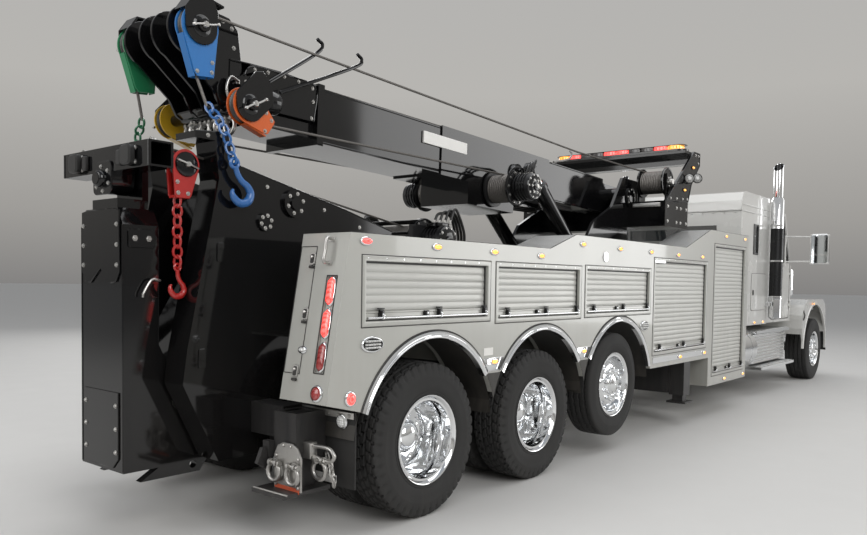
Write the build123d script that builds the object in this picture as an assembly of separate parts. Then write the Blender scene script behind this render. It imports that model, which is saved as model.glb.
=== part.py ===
from build123d import *
from math import atan2, cos, degrees, hypot, radians, sin
import os

# Heavy rotator tow truck. All sizes are in millimetres.
# The model is drawn with X = 0 at the rearmost axle, X forward, Y to the left and Z up from the road.
# Every piece is moved back by MID_X on export, so the origin lies under the middle of the vehicle.
MID_X = 4850

# Clearances
RUN = 0.3            # at rest between the curved faces of two pieces that turn on each other
SLIDE_GAP = 0.5      # between a sliding piece and the pads of the tube that holds it
MOVE_GAP = 8         # between a moving piece and the fixed pieces beside it

# Axles and wheels
DRIVE_X = (0, 1380)
PUSHER_X = 2760
STEER_X = 10500
AXLE_Z = 525
PUSHER_Z = 640
TYRE_R = 525
PUSHER_TYRE_R = 492
BEAD_R = 290
DUAL_Y = (778, 1116)
TYRE_W = 280
STEER_Y = 1035
STEER_W = 360
PUSHER_Y = 1110
PUSHER_W = 290
KINGPIN_Y = 800
SPINDLE_R = 45

# Chassis
RAIL_Y = 430
RAIL_T = 9
RAIL_FLANGE = 85
RAIL_Z0 = 700
RAIL_Z1 = 980
RAIL_X0 = -560
TIE_Z = 895
SHAFT_Z = 830
RAIL_X1 = 11050
DECK_Z = 1200
DECK_T = 14

# Body lockers
BODY_Y = 1295
LOCKER_IN = 885
SKIN = 18
ARCH_R = 720
TAIL_TOP = (-790, 1870)
TAIL_LOW = (-970, 870)
BODY_OUTLINE = [
    (-650, 790), TAIL_LOW, TAIL_TOP, (1470, 1870), (1895, 2005), (4367, 2005),
    (5108, 2245), (6502, 2245), (6502, 395), (5120, 395), (5120, 735), (3480, 735), (3440, 775),
]
# name, rear x, front x, bottom z, top z of each roller door's opening
DOORS = [
    ("first", -690, 630, 1310, 1740),
    ("second", 700, 1990, 1290, 1740),
    ("third", 2060, 3435, 1295, 1750),
    ("fourth", 3510, 5020, 865, 1865),
    ("fifth", 5240, 6400, 505, 2090),
]
DOOR_RECESS = 26
LAMP_Y = (1155, 1235)
LAMP_SINK = 12
SLAT_PITCH = 42

# Cab
SLEEPER_X = (6700, 7960)
SLEEPER_Y = 1130
SLEEPER_TOP = 2880
CAB_X = (7960, 9480)
CAB_Y = 1060
CAB_TOP = 2800
CAB_FLOOR = 1040
CAB_WALL = 30
DOOR_X = (8430, 9400)
DOOR_Z0 = 1080
BELT_Z = 1950
ROOF_EDGE_Z = 2700
DOOR_HINGE_X = 9412
HINGE_Y = 1071
HINGE_Z = (1300, 1800)
HOOD_X = (9500, 11230)
HOOD_HINGE = (11230, 800)
FENDER_Y = 1220
FENDER_ARCH = 745

# Turret and boom
SLEW_X = 3900
SLEW_R = 600
WEIGHT_Z = 2268
PEDESTAL_Z = 1220
TOWER_R = 835
TOWER_Y = 500
TOWER_T = 36
BOOM_PIVOT = (4600, 2620)
BOOM_RISE = 2.05
BOOM_PIN_R = 55
BASE_HALF_W = 268
BASE_HALF_H = 200
BASE_LEN = 4750
WALL = 16
MID_GAP = 12
TIP_END = 5500
LIFT_PIN = (3930, 1570)
LIFT_EYE = (2600, 2700)
LIFT_Y = 372
LIFT_R = 76
LIFT_ROD_R = 56
LIFT_EYE_W = 70
LIFT_LUG = (215, 265)
WINCH = (2520, -240)

# Mast and underlift
MAST_Y = (275, 480)
ARM_PIN = (-530, 2100)
ARM_PIN_R = 45
STINGER_PIN = (-1240, 820)
STINGER_PIN_R = 45
STINGER_Y = 250
STINGER_X = (-1620, -1390)
STINGER_Z = (420, 2000)
STINGER_WALL = 20
BAR_PIN_Z = 2180
BAR_HALF = 510
BAR_SIZE = 150
BAR_TOP = 2370

# Outriggers and rear legs
OUT_X = (4500, 4950)
OUT_Z = (400, 690)
OUT_END = 1200
LEG_SIZE = 120
LEG_FOOT_Z = 250
JACK_Y = 900
JACK_X = -830
JACK_FOOT_Z = 300
FLAP_X = -692


def box(x0, x1, y0, y1, z0, z1):
    """A block between two corners."""
    middle = Pos((x0 + x1) / 2, (y0 + y1) / 2, (z0 + z1) / 2)
    return middle * Box(abs(x1 - x0), abs(y1 - y0), abs(z1 - z0))


def side_plate(points, y0, y1):
    """An outline of (x, z) points, filled and made solid from y0 to y1."""
    y0, y1 = min(y0, y1), max(y0, y1)
    ring = Polyline(*[(x, y0, z) for x, z in points], close=True)
    return extrude(make_face(ring), y1 - y0, dir=(0, 1, 0))


def end_plate(points, x0, x1):
    """An outline of (y, z) points, filled and made solid from x0 to x1."""
    ring = Polyline(*[(x0, y, z) for y, z in points], close=True)
    return extrude(make_face(ring), x1 - x0, dir=(1, 0, 0))


def flat_plate(points, z0, z1):
    """An outline of (x, y) points, filled and made solid from z0 to z1."""
    ring = Polyline(*[(x, y, z0) for x, y in points], close=True)
    return extrude(make_face(ring), z1 - z0, dir=(0, 0, 1))


def rod_y(x, z, r, y0, y1):
    """A round bar along Y."""
    return Pos(x, (y0 + y1) / 2, z) * Rot(90, 0, 0) * Cylinder(r, abs(y1 - y0))


def rod_x(y, z, r, x0, x1):
    """A round bar along X."""
    return Pos((x0 + x1) / 2, y, z) * Rot(0, 90, 0) * Cylinder(r, abs(x1 - x0))


def rod_z(x, y, r, z0, z1):
    """An upright round bar."""
    return Pos(x, y, (z0 + z1) / 2) * Cylinder(r, abs(z1 - z0))


def bar(start, end, r):
    """A round bar between two points."""
    a, b = Vector(*start), Vector(*end)
    ring = Plane(origin=a, z_dir=b - a) * Circle(r)
    return extrude(ring, (b - a).length)


def both(piece):
    """The piece and its mirror image on the other side."""
    return piece + mirror(piece, about=Plane.XZ)


def on_side(piece, side):
    """The piece as drawn on the left, or its mirror image for the right."""
    return piece if side > 0 else mirror(piece, about=Plane.XZ)


def joined(pieces):
    """One shape from a list of pieces."""
    whole = pieces[0]
    for piece in pieces[1:]:
        whole = whole + piece
    return whole


def turned_y(points, x, z, y0, y1):
    """A ring section of (radius, y) points turned about the line through (x, z) along Y."""
    ring = Polyline(*[(x + r, y, z) for r, y in points], close=True)
    return revolve(make_face(ring), Axis((x, 0, z), (0, 1, 0)), 360)


def plain_tyre(x, z, y, width, outer_r):
    """One tyre: bead, sidewall, shoulder and flat tread, turned about its axle."""
    h = width / 2
    section = [
        (BEAD_R, y - h + 22), (BEAD_R + 38, y - h + 8), (outer_r - 110, y - h),
        (outer_r - 34, y - h + 12), (outer_r - 8, y - h + 30), (outer_r, y - h + 52),
        (outer_r, y + h - 52), (outer_r - 8, y + h - 30), (outer_r - 34, y + h - 12),
        (outer_r - 110, y + h), (BEAD_R + 38, y + h - 8), (BEAD_R, y + h - 22),
    ]
    return turned_y(section, x, z, 0, 0)


def dual_tyres(x, side):
    return joined([plain_tyre(x, AXLE_Z, side * y, TYRE_W, TYRE_R) for y in DUAL_Y])


HUB_BORE = SPINDLE_R + RUN
RIM_LIP = BEAD_R - 26


def rim_barrel(y0, y1):
    """Section points of the rim's barrel, its outside on the tyre's bead."""
    return [(BEAD_R, y0), (BEAD_R, y1), (RIM_LIP, y1), (RIM_LIP, y0)]


def hand_holes(x, z, y0, y1, ring_r, count, r):
    holes = []
    for i in range(count):
        a = radians(360 / count * i)
        holes.append(rod_y(x + ring_r * cos(a), z + ring_r * sin(a), r, y0, y1))
    return holes


def dual_rim(x, side):
    """Two rims with their dishes back to back on one hub, the outer one deep."""
    inner, outer = DUAL_Y
    half = TYRE_W / 2
    disc_y = (inner + outer) / 2
    pieces = []
    for y in DUAL_Y:
        y0, y1 = side * (y - half + 22), side * (y + half - 22)
        pieces.append(turned_y(rim_barrel(y0, y1), x, AXLE_Z, 0, 0))
    joint_in = inner + half - 22
    joint_out = outer - half + 22
    link = [(RIM_LIP, joint_in - 20), (BEAD_R - 4, joint_in - 20), (BEAD_R - 4, joint_out + 20), (RIM_LIP, joint_out + 20)]
    pieces.append(turned_y([(r, side * y) for r, y in link], x, AXLE_Z, 0, 0))
    dish = [
        (HUB_BORE, disc_y - 12), (200, disc_y - 12), (RIM_LIP + 2, disc_y - 28), (RIM_LIP + 2, disc_y + 2),
        (204, disc_y + 16), (150, disc_y + 18), (128, disc_y + 26), (118, disc_y + 96), (86, disc_y + 128), (HUB_BORE, disc_y + 128),
    ]
    plate = turned_y([(r, side * y) for r, y in dish], x, AXLE_Z, 0, 0)
    for hole in hand_holes(x, AXLE_Z, side * (disc_y - 60), side * (disc_y + 60), 214, 10, 26):
        plate = plate - hole
    pieces.append(plate)
    cap = [(0, disc_y + 128), (86, disc_y + 128), (76, disc_y + 146), (40, disc_y + 160), (0, disc_y + 164)]
    pieces.append(turned_y([(r, side * y) for r, y in cap], x, AXLE_Z, 0, 0))
    return joined(pieces)


def convex_rim(x, z, y, width, side, disc_out):
    """A single rim whose disc bulges outward, as on a steered or lifted axle."""
    half = width / 2
    y0, y1 = side * (y - half + 22), side * (y + half - 22)
    pieces = [turned_y(rim_barrel(y0, y1), x, z, 0, 0)]
    d = y + disc_out
    dish = [
        (HUB_BORE, d - 14), (150, d - 14), (208, d - 26), (RIM_LIP + 2, d - 66), (RIM_LIP + 2, d - 34),
        (212, d + 4), (156, d + 16), (120, d + 22), (110, d + 60), (84, d + 84), (HUB_BORE, d + 84),
    ]
    plate = turned_y([(r, side * v) for r, v in dish], x, z, 0, 0)
    for hole in hand_holes(x, z, side * (d - 90), side * (d + 60), 216, 10, 25):
        plate = plate - hole
    pieces.append(plate)
    cap = [(0, d + 84), (84, d + 84), (74, d + 102), (40, d + 114), (0, d + 118)]
    pieces.append(turned_y([(r, side * v) for r, v in cap], x, z, 0, 0))
    return joined(pieces)


DUAL_SPINDLE = (DUAL_Y[0] + DUAL_Y[1]) / 2 + 110
PUSHER_DISC = 40
STEER_DISC = 60


def rails():
    """Two channel rails, open inward, with plain crossmembers between them."""
    web = box(RAIL_X0, RAIL_X1, RAIL_Y - RAIL_T, RAIL_Y, RAIL_Z0, RAIL_Z1)
    top = box(RAIL_X0, RAIL_X1, RAIL_Y - RAIL_FLANGE, RAIL_Y, RAIL_Z1 - RAIL_T, RAIL_Z1)
    low = box(RAIL_X0, RAIL_X1, RAIL_Y - RAIL_FLANGE, RAIL_Y, RAIL_Z0, RAIL_Z0 + RAIL_T)
    frame = both(web + top + low)
    for x in (690, 2070, 3250, 5000, 6600, 7600, 10950):
        frame = frame + box(x - 40, x + 40, -RAIL_Y, RAIL_Y, TIE_Z, RAIL_Z1 - RAIL_T)
    return frame


def pedestal():
    """The drum under the slewing ring, standing on the rails."""
    drum = rod_z(SLEW_X, 0, SLEW_R, RAIL_Z1, PEDESTAL_Z)
    return drum - rod_z(SLEW_X, 0, SLEW_R - 60, RAIL_Z1 - 1, PEDESTAL_Z + 1)


def outrigger_tunnel():
    """The box across the truck that both outrigger beams slide in, hung from the rails."""
    x0, x1 = OUT_X
    z0, z1 = OUT_Z
    outer = box(x0, x1, -1060, 1060, z0 - 40, z1 + 20)
    mid = (x0 + x1) / 2
    tunnel_rear = box(x0 + 15, mid - 8, -1100, 1100, z0 - 20, z1)
    tunnel_front = box(mid + 8, x1 - 15, -1100, 1100, z0 - 20, z1)
    return outer - tunnel_rear - tunnel_front


def tail_frame():
    """Rear bolster, jack sleeves, and the tow-eye brackets below them."""
    pieces = [box(-560, -480, -RAIL_Y, RAIL_Y, RAIL_Z0, RAIL_Z1)]
    sleeve = box(JACK_X - 110, JACK_X + 110, JACK_Y - 100, JACK_Y + 100, 500, 785)
    sleeve = sleeve - box(JACK_X - 75, JACK_X + 75, JACK_Y - 65, JACK_Y + 65, 499, 786)
    brace = box(JACK_X + 110, FLAP_X - 4, MAST_Y[1], JACK_Y + 100, 520, 780)
    link = box(JACK_X - 40, JACK_X + 110, MAST_Y[1], JACK_Y - 100, 600, 800)
    eye = side_plate([(-1050, 470), (-940, 400), (-940, 560), (-1010, 560)], JACK_Y - 150, JACK_Y - 120)
    strip = box(JACK_X + 110, FLAP_X, JACK_Y - 100, JACK_Y + 100, 700, 780)
    lug = box(-980, JACK_X - 110, JACK_Y - 160, JACK_Y - 100, 500, 600)
    return both(joined([sleeve, brace, link, strip, lug, eye])) + pieces[0]


def chassis_frame():
    return rails() + pedestal() + outrigger_tunnel() + tail_frame()


def driven_axle(x):
    """Axle tube with its differential and the seats that carry it under the rails."""
    tube = rod_y(x, AXLE_Z, 66, -600, 600)
    spindles = rod_y(x, AXLE_Z, SPINDLE_R, -DUAL_SPINDLE, DUAL_SPINDLE)
    bulb = Pos(x, 0, AXLE_Z) * Sphere(205)
    nose = rod_x(0, AXLE_Z + 20, 90, x + 150, x + 290)
    seats = both(box(x - 60, x + 60, 380, 470, AXLE_Z + 30, RAIL_Z0))
    return joined([tube, spindles, bulb, nose, seats])


def pusher_axle():
    low = box(PUSHER_X - 60, PUSHER_X + 60, -380, 380, PUSHER_Z - 200, PUSHER_Z - 100)
    rise = both(box(PUSHER_X - 60, PUSHER_X + 60, 300, 380, PUSHER_Z - 200, PUSHER_Z + 55))
    outer = both(box(PUSHER_X - 60, PUSHER_X + 60, 300, 900, PUSHER_Z - 55, PUSHER_Z + 55))
    spindles = both(rod_y(PUSHER_X, PUSHER_Z, SPINDLE_R, 800, PUSHER_Y + 90))
    seats = both(box(PUSHER_X - 50, PUSHER_X + 50, 375, 460, PUSHER_Z + 50, RAIL_Z0))
    return joined([low, rise, outer, spindles, seats])


def steer_beam():
    """The dropped beam of the steered axle with a yoke at each end for the knuckle's pin."""
    beam = box(STEER_X - 50, STEER_X + 50, -690, 690, AXLE_Z - 110, AXLE_Z - 10)
    seats = both(box(STEER_X - 60, STEER_X + 60, 375, 460, AXLE_Z - 30, RAIL_Z0))
    head = rod_z(STEER_X, KINGPIN_Y, 55, AXLE_Z - 55, AXLE_Z + 55)
    neck = box(STEER_X - 45, STEER_X + 45, 660, KINGPIN_Y, AXLE_Z - 55, AXLE_Z + 20)
    bore = rod_z(STEER_X, KINGPIN_Y, 25 + RUN, AXLE_Z - 120, AXLE_Z + 120)
    return beam + seats + both(head + neck - bore)


def driveline():
    """Axles, shafts, and plain blocks where the engine and gearbox are."""
    shaft_z = AXLE_Z + 20
    engine = box(9560, 10800, -300, 300, 780, 1560)
    feet = both(box(10000, 10200, 300, RAIL_Y - RAIL_T, 860, 960))
    gearbox = box(8600, 9560, -230, 230, 700, 1025)
    shafts = [
        rod_x(0, shaft_z, 50, 290, 1180),
        bar((1670, 0, shaft_z), (5000, 0, SHAFT_Z), 50),
        bar((4990, 0, SHAFT_Z), (8610, 0, SHAFT_Z), 50),
    ]
    hanger = box(4975, 5025, -60, 60, SHAFT_Z, TIE_Z)
    pieces = [driven_axle(x) for x in DRIVE_X] + [pusher_axle(), steer_beam(), engine, gearbox, hanger] + shafts
    return joined(pieces) + feet


def knuckle(side):
    """Fork round the beam's end, pin through it, and the spindle the wheel turns on."""
    pin = rod_z(STEER_X, side * KINGPIN_Y, 25, AXLE_Z - 95, AXLE_Z + 95)
    upper = box(STEER_X - 50, STEER_X + 50, side * (KINGPIN_Y - 50), side * (KINGPIN_Y + 110), AXLE_Z + 62, AXLE_Z + 95)
    lower = box(STEER_X - 50, STEER_X + 50, side * (KINGPIN_Y - 50), side * (KINGPIN_Y + 110), AXLE_Z - 95, AXLE_Z - 62)
    web = box(STEER_X - 50, STEER_X + 50, side * (KINGPIN_Y + 68), side * (KINGPIN_Y + 110), AXLE_Z - 95, AXLE_Z + 95)
    spindle = rod_y(STEER_X, AXLE_Z, SPINDLE_R, side * (KINGPIN_Y + 100), side * (STEER_Y + STEER_DISC + 70))
    return joined([pin, upper, lower, web, spindle])


def locker_solid():
    """One side's row of lockers, hollow behind every roller door."""
    body = side_plate(BODY_OUTLINE, LOCKER_IN, BODY_Y)
    for x, z in [(DRIVE_X[0], AXLE_Z), (DRIVE_X[1], AXLE_Z), (PUSHER_X, AXLE_Z + 25)]:
        body = body - rod_y(x, z, ARCH_R, LOCKER_IN - 1, BODY_Y + 1)
    for name, x0, x1, z0, z1 in DOORS:
        body = body - box(x0, x1, LOCKER_IN + SKIN, BODY_Y + 1, z0, z1)
    return body - tail_pocket(1050, 1610, *LAMP_Y, LAMP_SINK, 5)


def tail_pocket(z0, z1, y0, y1, sink, proud):
    """A block following the leaning tail face, from sink inside it to proud outside it."""
    lean = (TAIL_TOP[0] - TAIL_LOW[0]) / (TAIL_TOP[1] - TAIL_LOW[1])
    a = TAIL_LOW[0] + lean * (z0 - TAIL_LOW[1])
    b = TAIL_LOW[0] + lean * (z1 - TAIL_LOW[1])
    return side_plate([(a - proud, z0), (b - proud, z1), (b + sink, z1), (a + sink, z0)], y0, y1)


def body_boxes():
    """Both rows of lockers, the deck between them and the cross box behind the cab."""
    lockers = both(locker_solid())
    deck = box(-560, 2720, -LOCKER_IN, LOCKER_IN, DECK_Z, DECK_Z + DECK_T)
    deck = deck - box(-700, 460, -MAST_Y[1] - 2, MAST_Y[1] + 2, DECK_Z - 1, DECK_Z + DECK_T + 1)
    sills = []
    for x in (690, 2070):
        sills.append(box(x - 50, x + 50, -LOCKER_IN, LOCKER_IN, RAIL_Z1, DECK_Z))
    sills.append(box(5250, 5350, -LOCKER_IN, LOCKER_IN, RAIL_Z1, DECK_Z))
    cross = box(5980, 6480, -LOCKER_IN, LOCKER_IN, RAIL_Z1, 2180)
    cross = cross - box(6000, 6460, -LOCKER_IN + 20, LOCKER_IN - 20, RAIL_Z1 + 20, 2160)
    tread = box(1540, 1880, -LOCKER_IN, LOCKER_IN, 1850, 1870)
    tread = tread - box(1500, 1900, -420, 420, 1800, 1900)
    return joined([lockers, deck, cross, tread] + sills)


def shutters():
    """The closed roller curtains, one in each opening, with a bottom bar."""
    y0 = BODY_Y - DOOR_RECESS - 12
    pieces = []
    for name, x0, x1, z0, z1 in DOORS:
        curtain = box(x0, x1, y0, y0 + 8, z0, z1)
        count = int((z1 - z0 - 60) / SLAT_PITCH)
        for i in range(count):
            z = z0 + 60 + SLAT_PITCH * i
            curtain = curtain + box(x0, x1, y0 + 8, y0 + 14, z + 3, z + SLAT_PITCH - 5)
        handle = box(x0, x1, y0 + 8, y0 + 24, z0, z0 + 44)
        pieces.append(curtain + handle)
    return both(joined(pieces))


def arch_trims():
    """Bright half rings round the three wheel openings."""
    pieces = []
    for x, z, reach in [(DRIVE_X[0], AXLE_Z, 660), (DRIVE_X[1], AXLE_Z, 640), (PUSHER_X, AXLE_Z + 25, 700)]:
        ring = rod_y(x, z, ARCH_R, BODY_Y - 30, BODY_Y + 16) - rod_y(x, z, ARCH_R - 34, BODY_Y - 40, BODY_Y + 20)
        keep = box(x - reach, x + reach, BODY_Y - 50, BODY_Y + 50, 800, 1400)
        pieces.append(ring & keep)
    return both(joined(pieces))


# x, z of the small amber lamps on one side
AMBERS = [
    (-240, 1830), (350, 1830), (930, 1830), (1640, 1880), (2300, 1960), (2950, 1960), (3560, 1960),
    (4120, 1960), (4900, 2100), (5800, 2200), (690, 1010), (2075, 1010), (3800, 800), (4700, 800),
    (5500, 450), (6200, 450),
]


def marker_lamps():
    """Small side lamps and the round and upright lamps of the tail panel."""
    pieces = []
    for x, z in AMBERS:
        pieces.append(box(x - 35, x + 35, BODY_Y, BODY_Y + 22, z - 12, z + 12))
    for z in (1520, 1330, 1140):
        pieces.append(tail_pocket(z - 80, z + 80, LAMP_Y[0] + 12, LAMP_Y[1] - 12, LAMP_SINK, 4))
    return both(joined(pieces))


MAST_OUTLINE = [
    (-1290, 2430), (-1290, 2470), (-1060, 2490), (-1020, 2310), (-60, 2100), (450, 1970), (450, 1000),
    (-540, 1000), (-600, 560), (-760, 450), (-1120, 450), (-1370, 950), (-1340, 1160), (-1120, 2200),
    (-1150, 2430),
]


def mast():
    """Two box towers on the tail of the frame, with the bosses the lift arm hangs from."""
    y0, y1 = MAST_Y
    tower = side_plate(MAST_OUTLINE, y0, y1)
    hollow = side_plate([(-560, 1020), (-560, 1900), (430, 1900), (430, 1020)], y0 + 30, y1 - 30)
    tower = tower - hollow
    rail_slot = box(RAIL_X0 - 2, 460, y0 - 1, RAIL_Y + 0.5, RAIL_Z0, RAIL_Z1)
    tower = tower - rail_slot
    boss = rod_y(ARM_PIN[0], ARM_PIN[1], 95, y1, y1 + 26)
    second = rod_y(-770, 1960, 60, y1, y1 + 20)
    pin = rod_y(ARM_PIN[0], ARM_PIN[1], ARM_PIN_R, -y1 - 40, y1 + 40)
    tie = box(300, 440, -y0, y0, 1215, 1500)
    return both(tower + boss + second) + pin + tie


def mast_sheave():
    """The guarded pulley on the right tower's top."""
    x, y, z = -1290, -330, 2275
    guard = side_plate([(x - 110, z - 90), (x + 60, z - 110), (x + 90, z - 60), (x + 60, z + 155), (x, z + 155), (x - 100, z + 60)], y - 60, y - 45)
    wheel = rod_y(x, z, 95, y - 45, y + 20)
    return guard + wheel


def drag_winch():
    """Winch on the deck between the lockers."""
    drum = rod_y(1050, 1930, 110, -300, 300)
    flanges = both(rod_y(1050, 1930, 190, 280, 310))
    feet = both(box(850, 1250, 310, 350, DECK_Z + DECK_T, 2060))
    motor = both(rod_y(1050, 1930, 120, 350, 560))
    return joined([drum, flanges, feet, motor])


def door_hinge(z0, z1):
    """One barrel of a door's hinge, on the left side."""
    return rod_z(DOOR_HINGE_X, HINGE_Y, 10, z0, z1)


def cab_shell():
    """Hollow cab and sleeper with the door, windscreen and side windows open."""
    x0, x1 = SLEEPER_X
    sleeper = side_plate([(x0, CAB_FLOOR), (x0, SLEEPER_TOP - 130), (x0 + 60, SLEEPER_TOP - 20), (x0 + 160, SLEEPER_TOP), (x1, SLEEPER_TOP), (x1, CAB_FLOOR)], -SLEEPER_Y, SLEEPER_Y)
    cab = side_plate([(x1, CAB_FLOOR), (x1, SLEEPER_TOP), (x1 + 250, CAB_TOP + 20), (9080, CAB_TOP - 60), (CAB_X[1] - 60, BELT_Z), (CAB_X[1], BELT_Z - 30), (CAB_X[1], CAB_FLOOR)], -CAB_Y, CAB_Y)
    shell = sleeper + cab
    w = CAB_WALL
    inner = side_plate([(x0 + w, CAB_FLOOR + w), (x0 + w, SLEEPER_TOP - 140), (x0 + 160, SLEEPER_TOP - w), (x1 + 10, SLEEPER_TOP - w), (x1 + 10, CAB_FLOOR + w)], -SLEEPER_Y + w, SLEEPER_Y - w)
    inner2 = side_plate([(x1 - w - 20, CAB_FLOOR + w), (x1 - w - 20, SLEEPER_TOP - 2 * w), (x1 + 240, CAB_TOP - w), (9060, CAB_TOP - 60 - w), (CAB_X[1] - 60 - w, BELT_Z - 20), (CAB_X[1] - w, BELT_Z - 60), (CAB_X[1] - w, CAB_FLOOR + w)], -CAB_Y + w, CAB_Y - w)
    shell = shell - inner - inner2
    for side in (-1, 1):
        shell = shell - side_plate([(DOOR_X[0], DOOR_Z0), (DOOR_X[0], ROOF_EDGE_Z), (9020, ROOF_EDGE_Z), (DOOR_X[1], BELT_Z), (DOOR_X[1], DOOR_Z0)], side * (CAB_Y - w - 1), side * (CAB_Y + 1))
        shell = shell - box(7250, 7450, side * (SLEEPER_Y - w - 1), side * (SLEEPER_Y + 1), 2050, 2450)
    shell = shell - box(x0 - 1, x0 + w + 1, -800, 800, 2000, 2420)
    for y0, y1 in ((-950, -25), (25, 950)):
        shell = shell - box(9000, CAB_X[1] + 20, y0, y1, BELT_Z + 60, CAB_TOP - 160)
    for z in HINGE_Z:
        shell = shell + both(door_hinge(z - 60, z - 20) + door_hinge(z + 20, z + 60))
        shell = shell + both(box(DOOR_HINGE_X, DOOR_HINGE_X + 30, CAB_Y - 6, HINGE_Y, z - 60, z - 20))
        shell = shell + both(box(DOOR_HINGE_X, DOOR_HINGE_X + 30, CAB_Y - 6, HINGE_Y, z + 20, z + 60))
    mounts = both(joined([box(x, x + 120, 360, RAIL_Y, RAIL_Z1, CAB_FLOOR) for x in (6800, 8000, 9300)]))
    return shell + mounts


def cab_glass():
    """Windscreen halves, rear window and sleeper side windows, seated in the cab's openings."""
    pieces = [box(SLEEPER_X[0] + 8, SLEEPER_X[0] + 14, -800, 800, 2000, 2420)]
    for side in (-1, 1):
        y = side * (SLEEPER_Y - 14)
        pieces.append(box(7250, 7450, y, y + side * 6, 2050, 2450))
    return joined(pieces)


def cab_interior():
    """Seats, dash and the steering wheel."""
    floor = CAB_FLOOR + CAB_WALL
    pieces = []
    for y in (-520, 520):
        pieces.append(box(8300, 8820, y - 260, y + 260, floor, floor + 420))
        pieces.append(box(8180, 8300, y - 260, y + 260, floor + 300, floor + 1120))
    dash = box(9150, 9400, -CAB_Y + 60, CAB_Y - 60, floor + 450, floor + 800)
    column = bar((9180, 520, floor + 600), (8980, 520, floor + 760), 30)
    wheel = Pos(8970, 520, floor + 770) * Rot(0, -52, 0) * (Cylinder(230, 30) - Cylinder(195, 31) + Cylinder(40, 30) + Box(400, 40, 20))
    bunk = box(SLEEPER_X[0] + CAB_WALL, 7500, -SLEEPER_Y + CAB_WALL, SLEEPER_Y - CAB_WALL, floor, floor + 480)
    leg = box(9200, 9380, -200, 200, floor, floor + 450)
    return joined(pieces + [dash, column, wheel, bunk, leg])


DOOR_WINDOW = [
    (DOOR_X[0] + 70, BELT_Z + 30), (DOOR_X[0] + 70, ROOF_EDGE_Z - 70), (8960, ROOF_EDGE_Z - 70),
    (DOOR_X[1] - 100, BELT_Z + 40), (DOOR_X[1] - 110, BELT_Z + 30),
]


def cab_door():
    """The left cab door with its window open, and the mirror it carries."""
    g = 6
    x0, x1 = DOOR_X
    outline = [(x0 + g, DOOR_Z0 + g), (x0 + g, ROOF_EDGE_Z - g), (9020 - g, ROOF_EDGE_Z - g), (x1 - g, BELT_Z - 2), (x1 - g, DOOR_Z0 + g)]
    door = side_plate(outline, CAB_Y - CAB_WALL, CAB_Y)
    door = door - side_plate(DOOR_WINDOW, CAB_Y - 60, CAB_Y + 5)
    for z in HINGE_Z:
        low, high = z - 20 + RUN, z + 20 - RUN
        door = door + box(x1 - 40, DOOR_HINGE_X, CAB_Y, HINGE_Y, low, high) + door_hinge(low, high)
    post_y = CAB_Y + 30
    foot = box(8950, 9030, CAB_Y, post_y + 20, 1925, 1965)
    post = rod_z(8990, post_y, 14, 1945, 2400)
    arm_low = bar((8990, post_y, 1985), (9080, 1500, 1990), 13)
    arm_top = bar((8990, post_y, 2380), (9080, 1500, 2370), 13)
    head = box(9050, 9120, 1440, 1700, 1950, 2410)
    handle = box(x0 + 60, x0 + 200, CAB_Y, CAB_Y + 25, BELT_Z - 90, BELT_Z - 60)
    return joined([door, foot, post, arm_low, arm_top, head, handle])


def door_glass():
    """The left door's window pane."""
    return side_plate(DOOR_WINDOW, CAB_Y - 18, CAB_Y - 12)


def hood_shell():
    """The tilting hood with both front wings, hollow over the engine and wheels."""
    x0, x1 = HOOD_X
    top = side_plate([(x0, 1060), (x0, 1960), (x0 + 300, 1950), (x1 - 260, 1760), (x1 - 40, 1680), (x1, 1560), (x1, 900), (x1 - 300, 900), (x1 - 320, 1060)], -560, 560)
    top = top - side_plate([(x0 - 1, 800), (x0 - 1, 1930), (x0 + 300, 1920), (x1 - 270, 1730), (x1 - 30, 1650), (x1 - 30, 800)], -530, 530)
    outer = [(9760, 620), (9640, 900), (9640, 1120), (9760, 1290), (9980, 1380), (10980, 1380), (11150, 1290), (x1 - 20, 1150), (x1 - 20, 870), (11190, 700)]
    wing = side_plate(outer, 560, FENDER_Y)
    wing = wing - rod_y(STEER_X, AXLE_Z + 20, FENDER_ARCH, 500, FENDER_Y + 1)
    pocket = side_plate([(9700, 600), (9670, 910), (9670, 1110), (9780, 1262), (9990, 1350), (10970, 1350), (11130, 1262), (x1 - 60, 1140), (x1 - 60, 880), (11100, 600)], 500, FENDER_Y - 30)
    wing = wing - pocket
    ear = box(11150, HOOD_HINGE[0] + 20, 440, 600, 765, 905) - rod_y(HOOD_HINGE[0], HOOD_HINGE[1], 20 + RUN, 430, 492)
    return top + both(wing + ear)


def hood_bright():
    """Grille surround and lamps on the hood's front."""
    x1 = HOOD_X[1]
    grille = box(x1, x1 + 30, -420, 420, 960, 1500)
    lamps = both(box(x1 - 20, x1 + 20, 760, 1080, 960, 1120))
    return grille + lamps


def bumper():
    """Front bumper with its brackets and the hood's hinge pins."""
    bar_piece = end_plate([(-1220, 460), (-1220, 800), (1220, 800), (1220, 460)], 11300, 11360)
    brackets = both(box(11050, 11300, 380, 430, 620, 840))
    pins = both(rod_y(HOOD_HINGE[0], HOOD_HINGE[1], 20, 425, 490))
    return joined([bar_piece, brackets, pins])


def exhaust_stacks():
    """Upright stacks behind the cab doors, with brackets to the sleeper."""
    pieces = []
    for side in (-1, 1):
        y = side * 1220
        pipe = rod_z(8030, y, 92, 1120, 2900)
        pipe = pipe + rod_z(8030, y, 70, 2900, 3410)
        stay = box(7900, 7960, side * SLEEPER_Y, y, 1300, 1360) + box(7900, 7960, side * SLEEPER_Y, y, 2500, 2560)
        pieces.append(pipe + stay)
    return joined(pieces)


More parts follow.
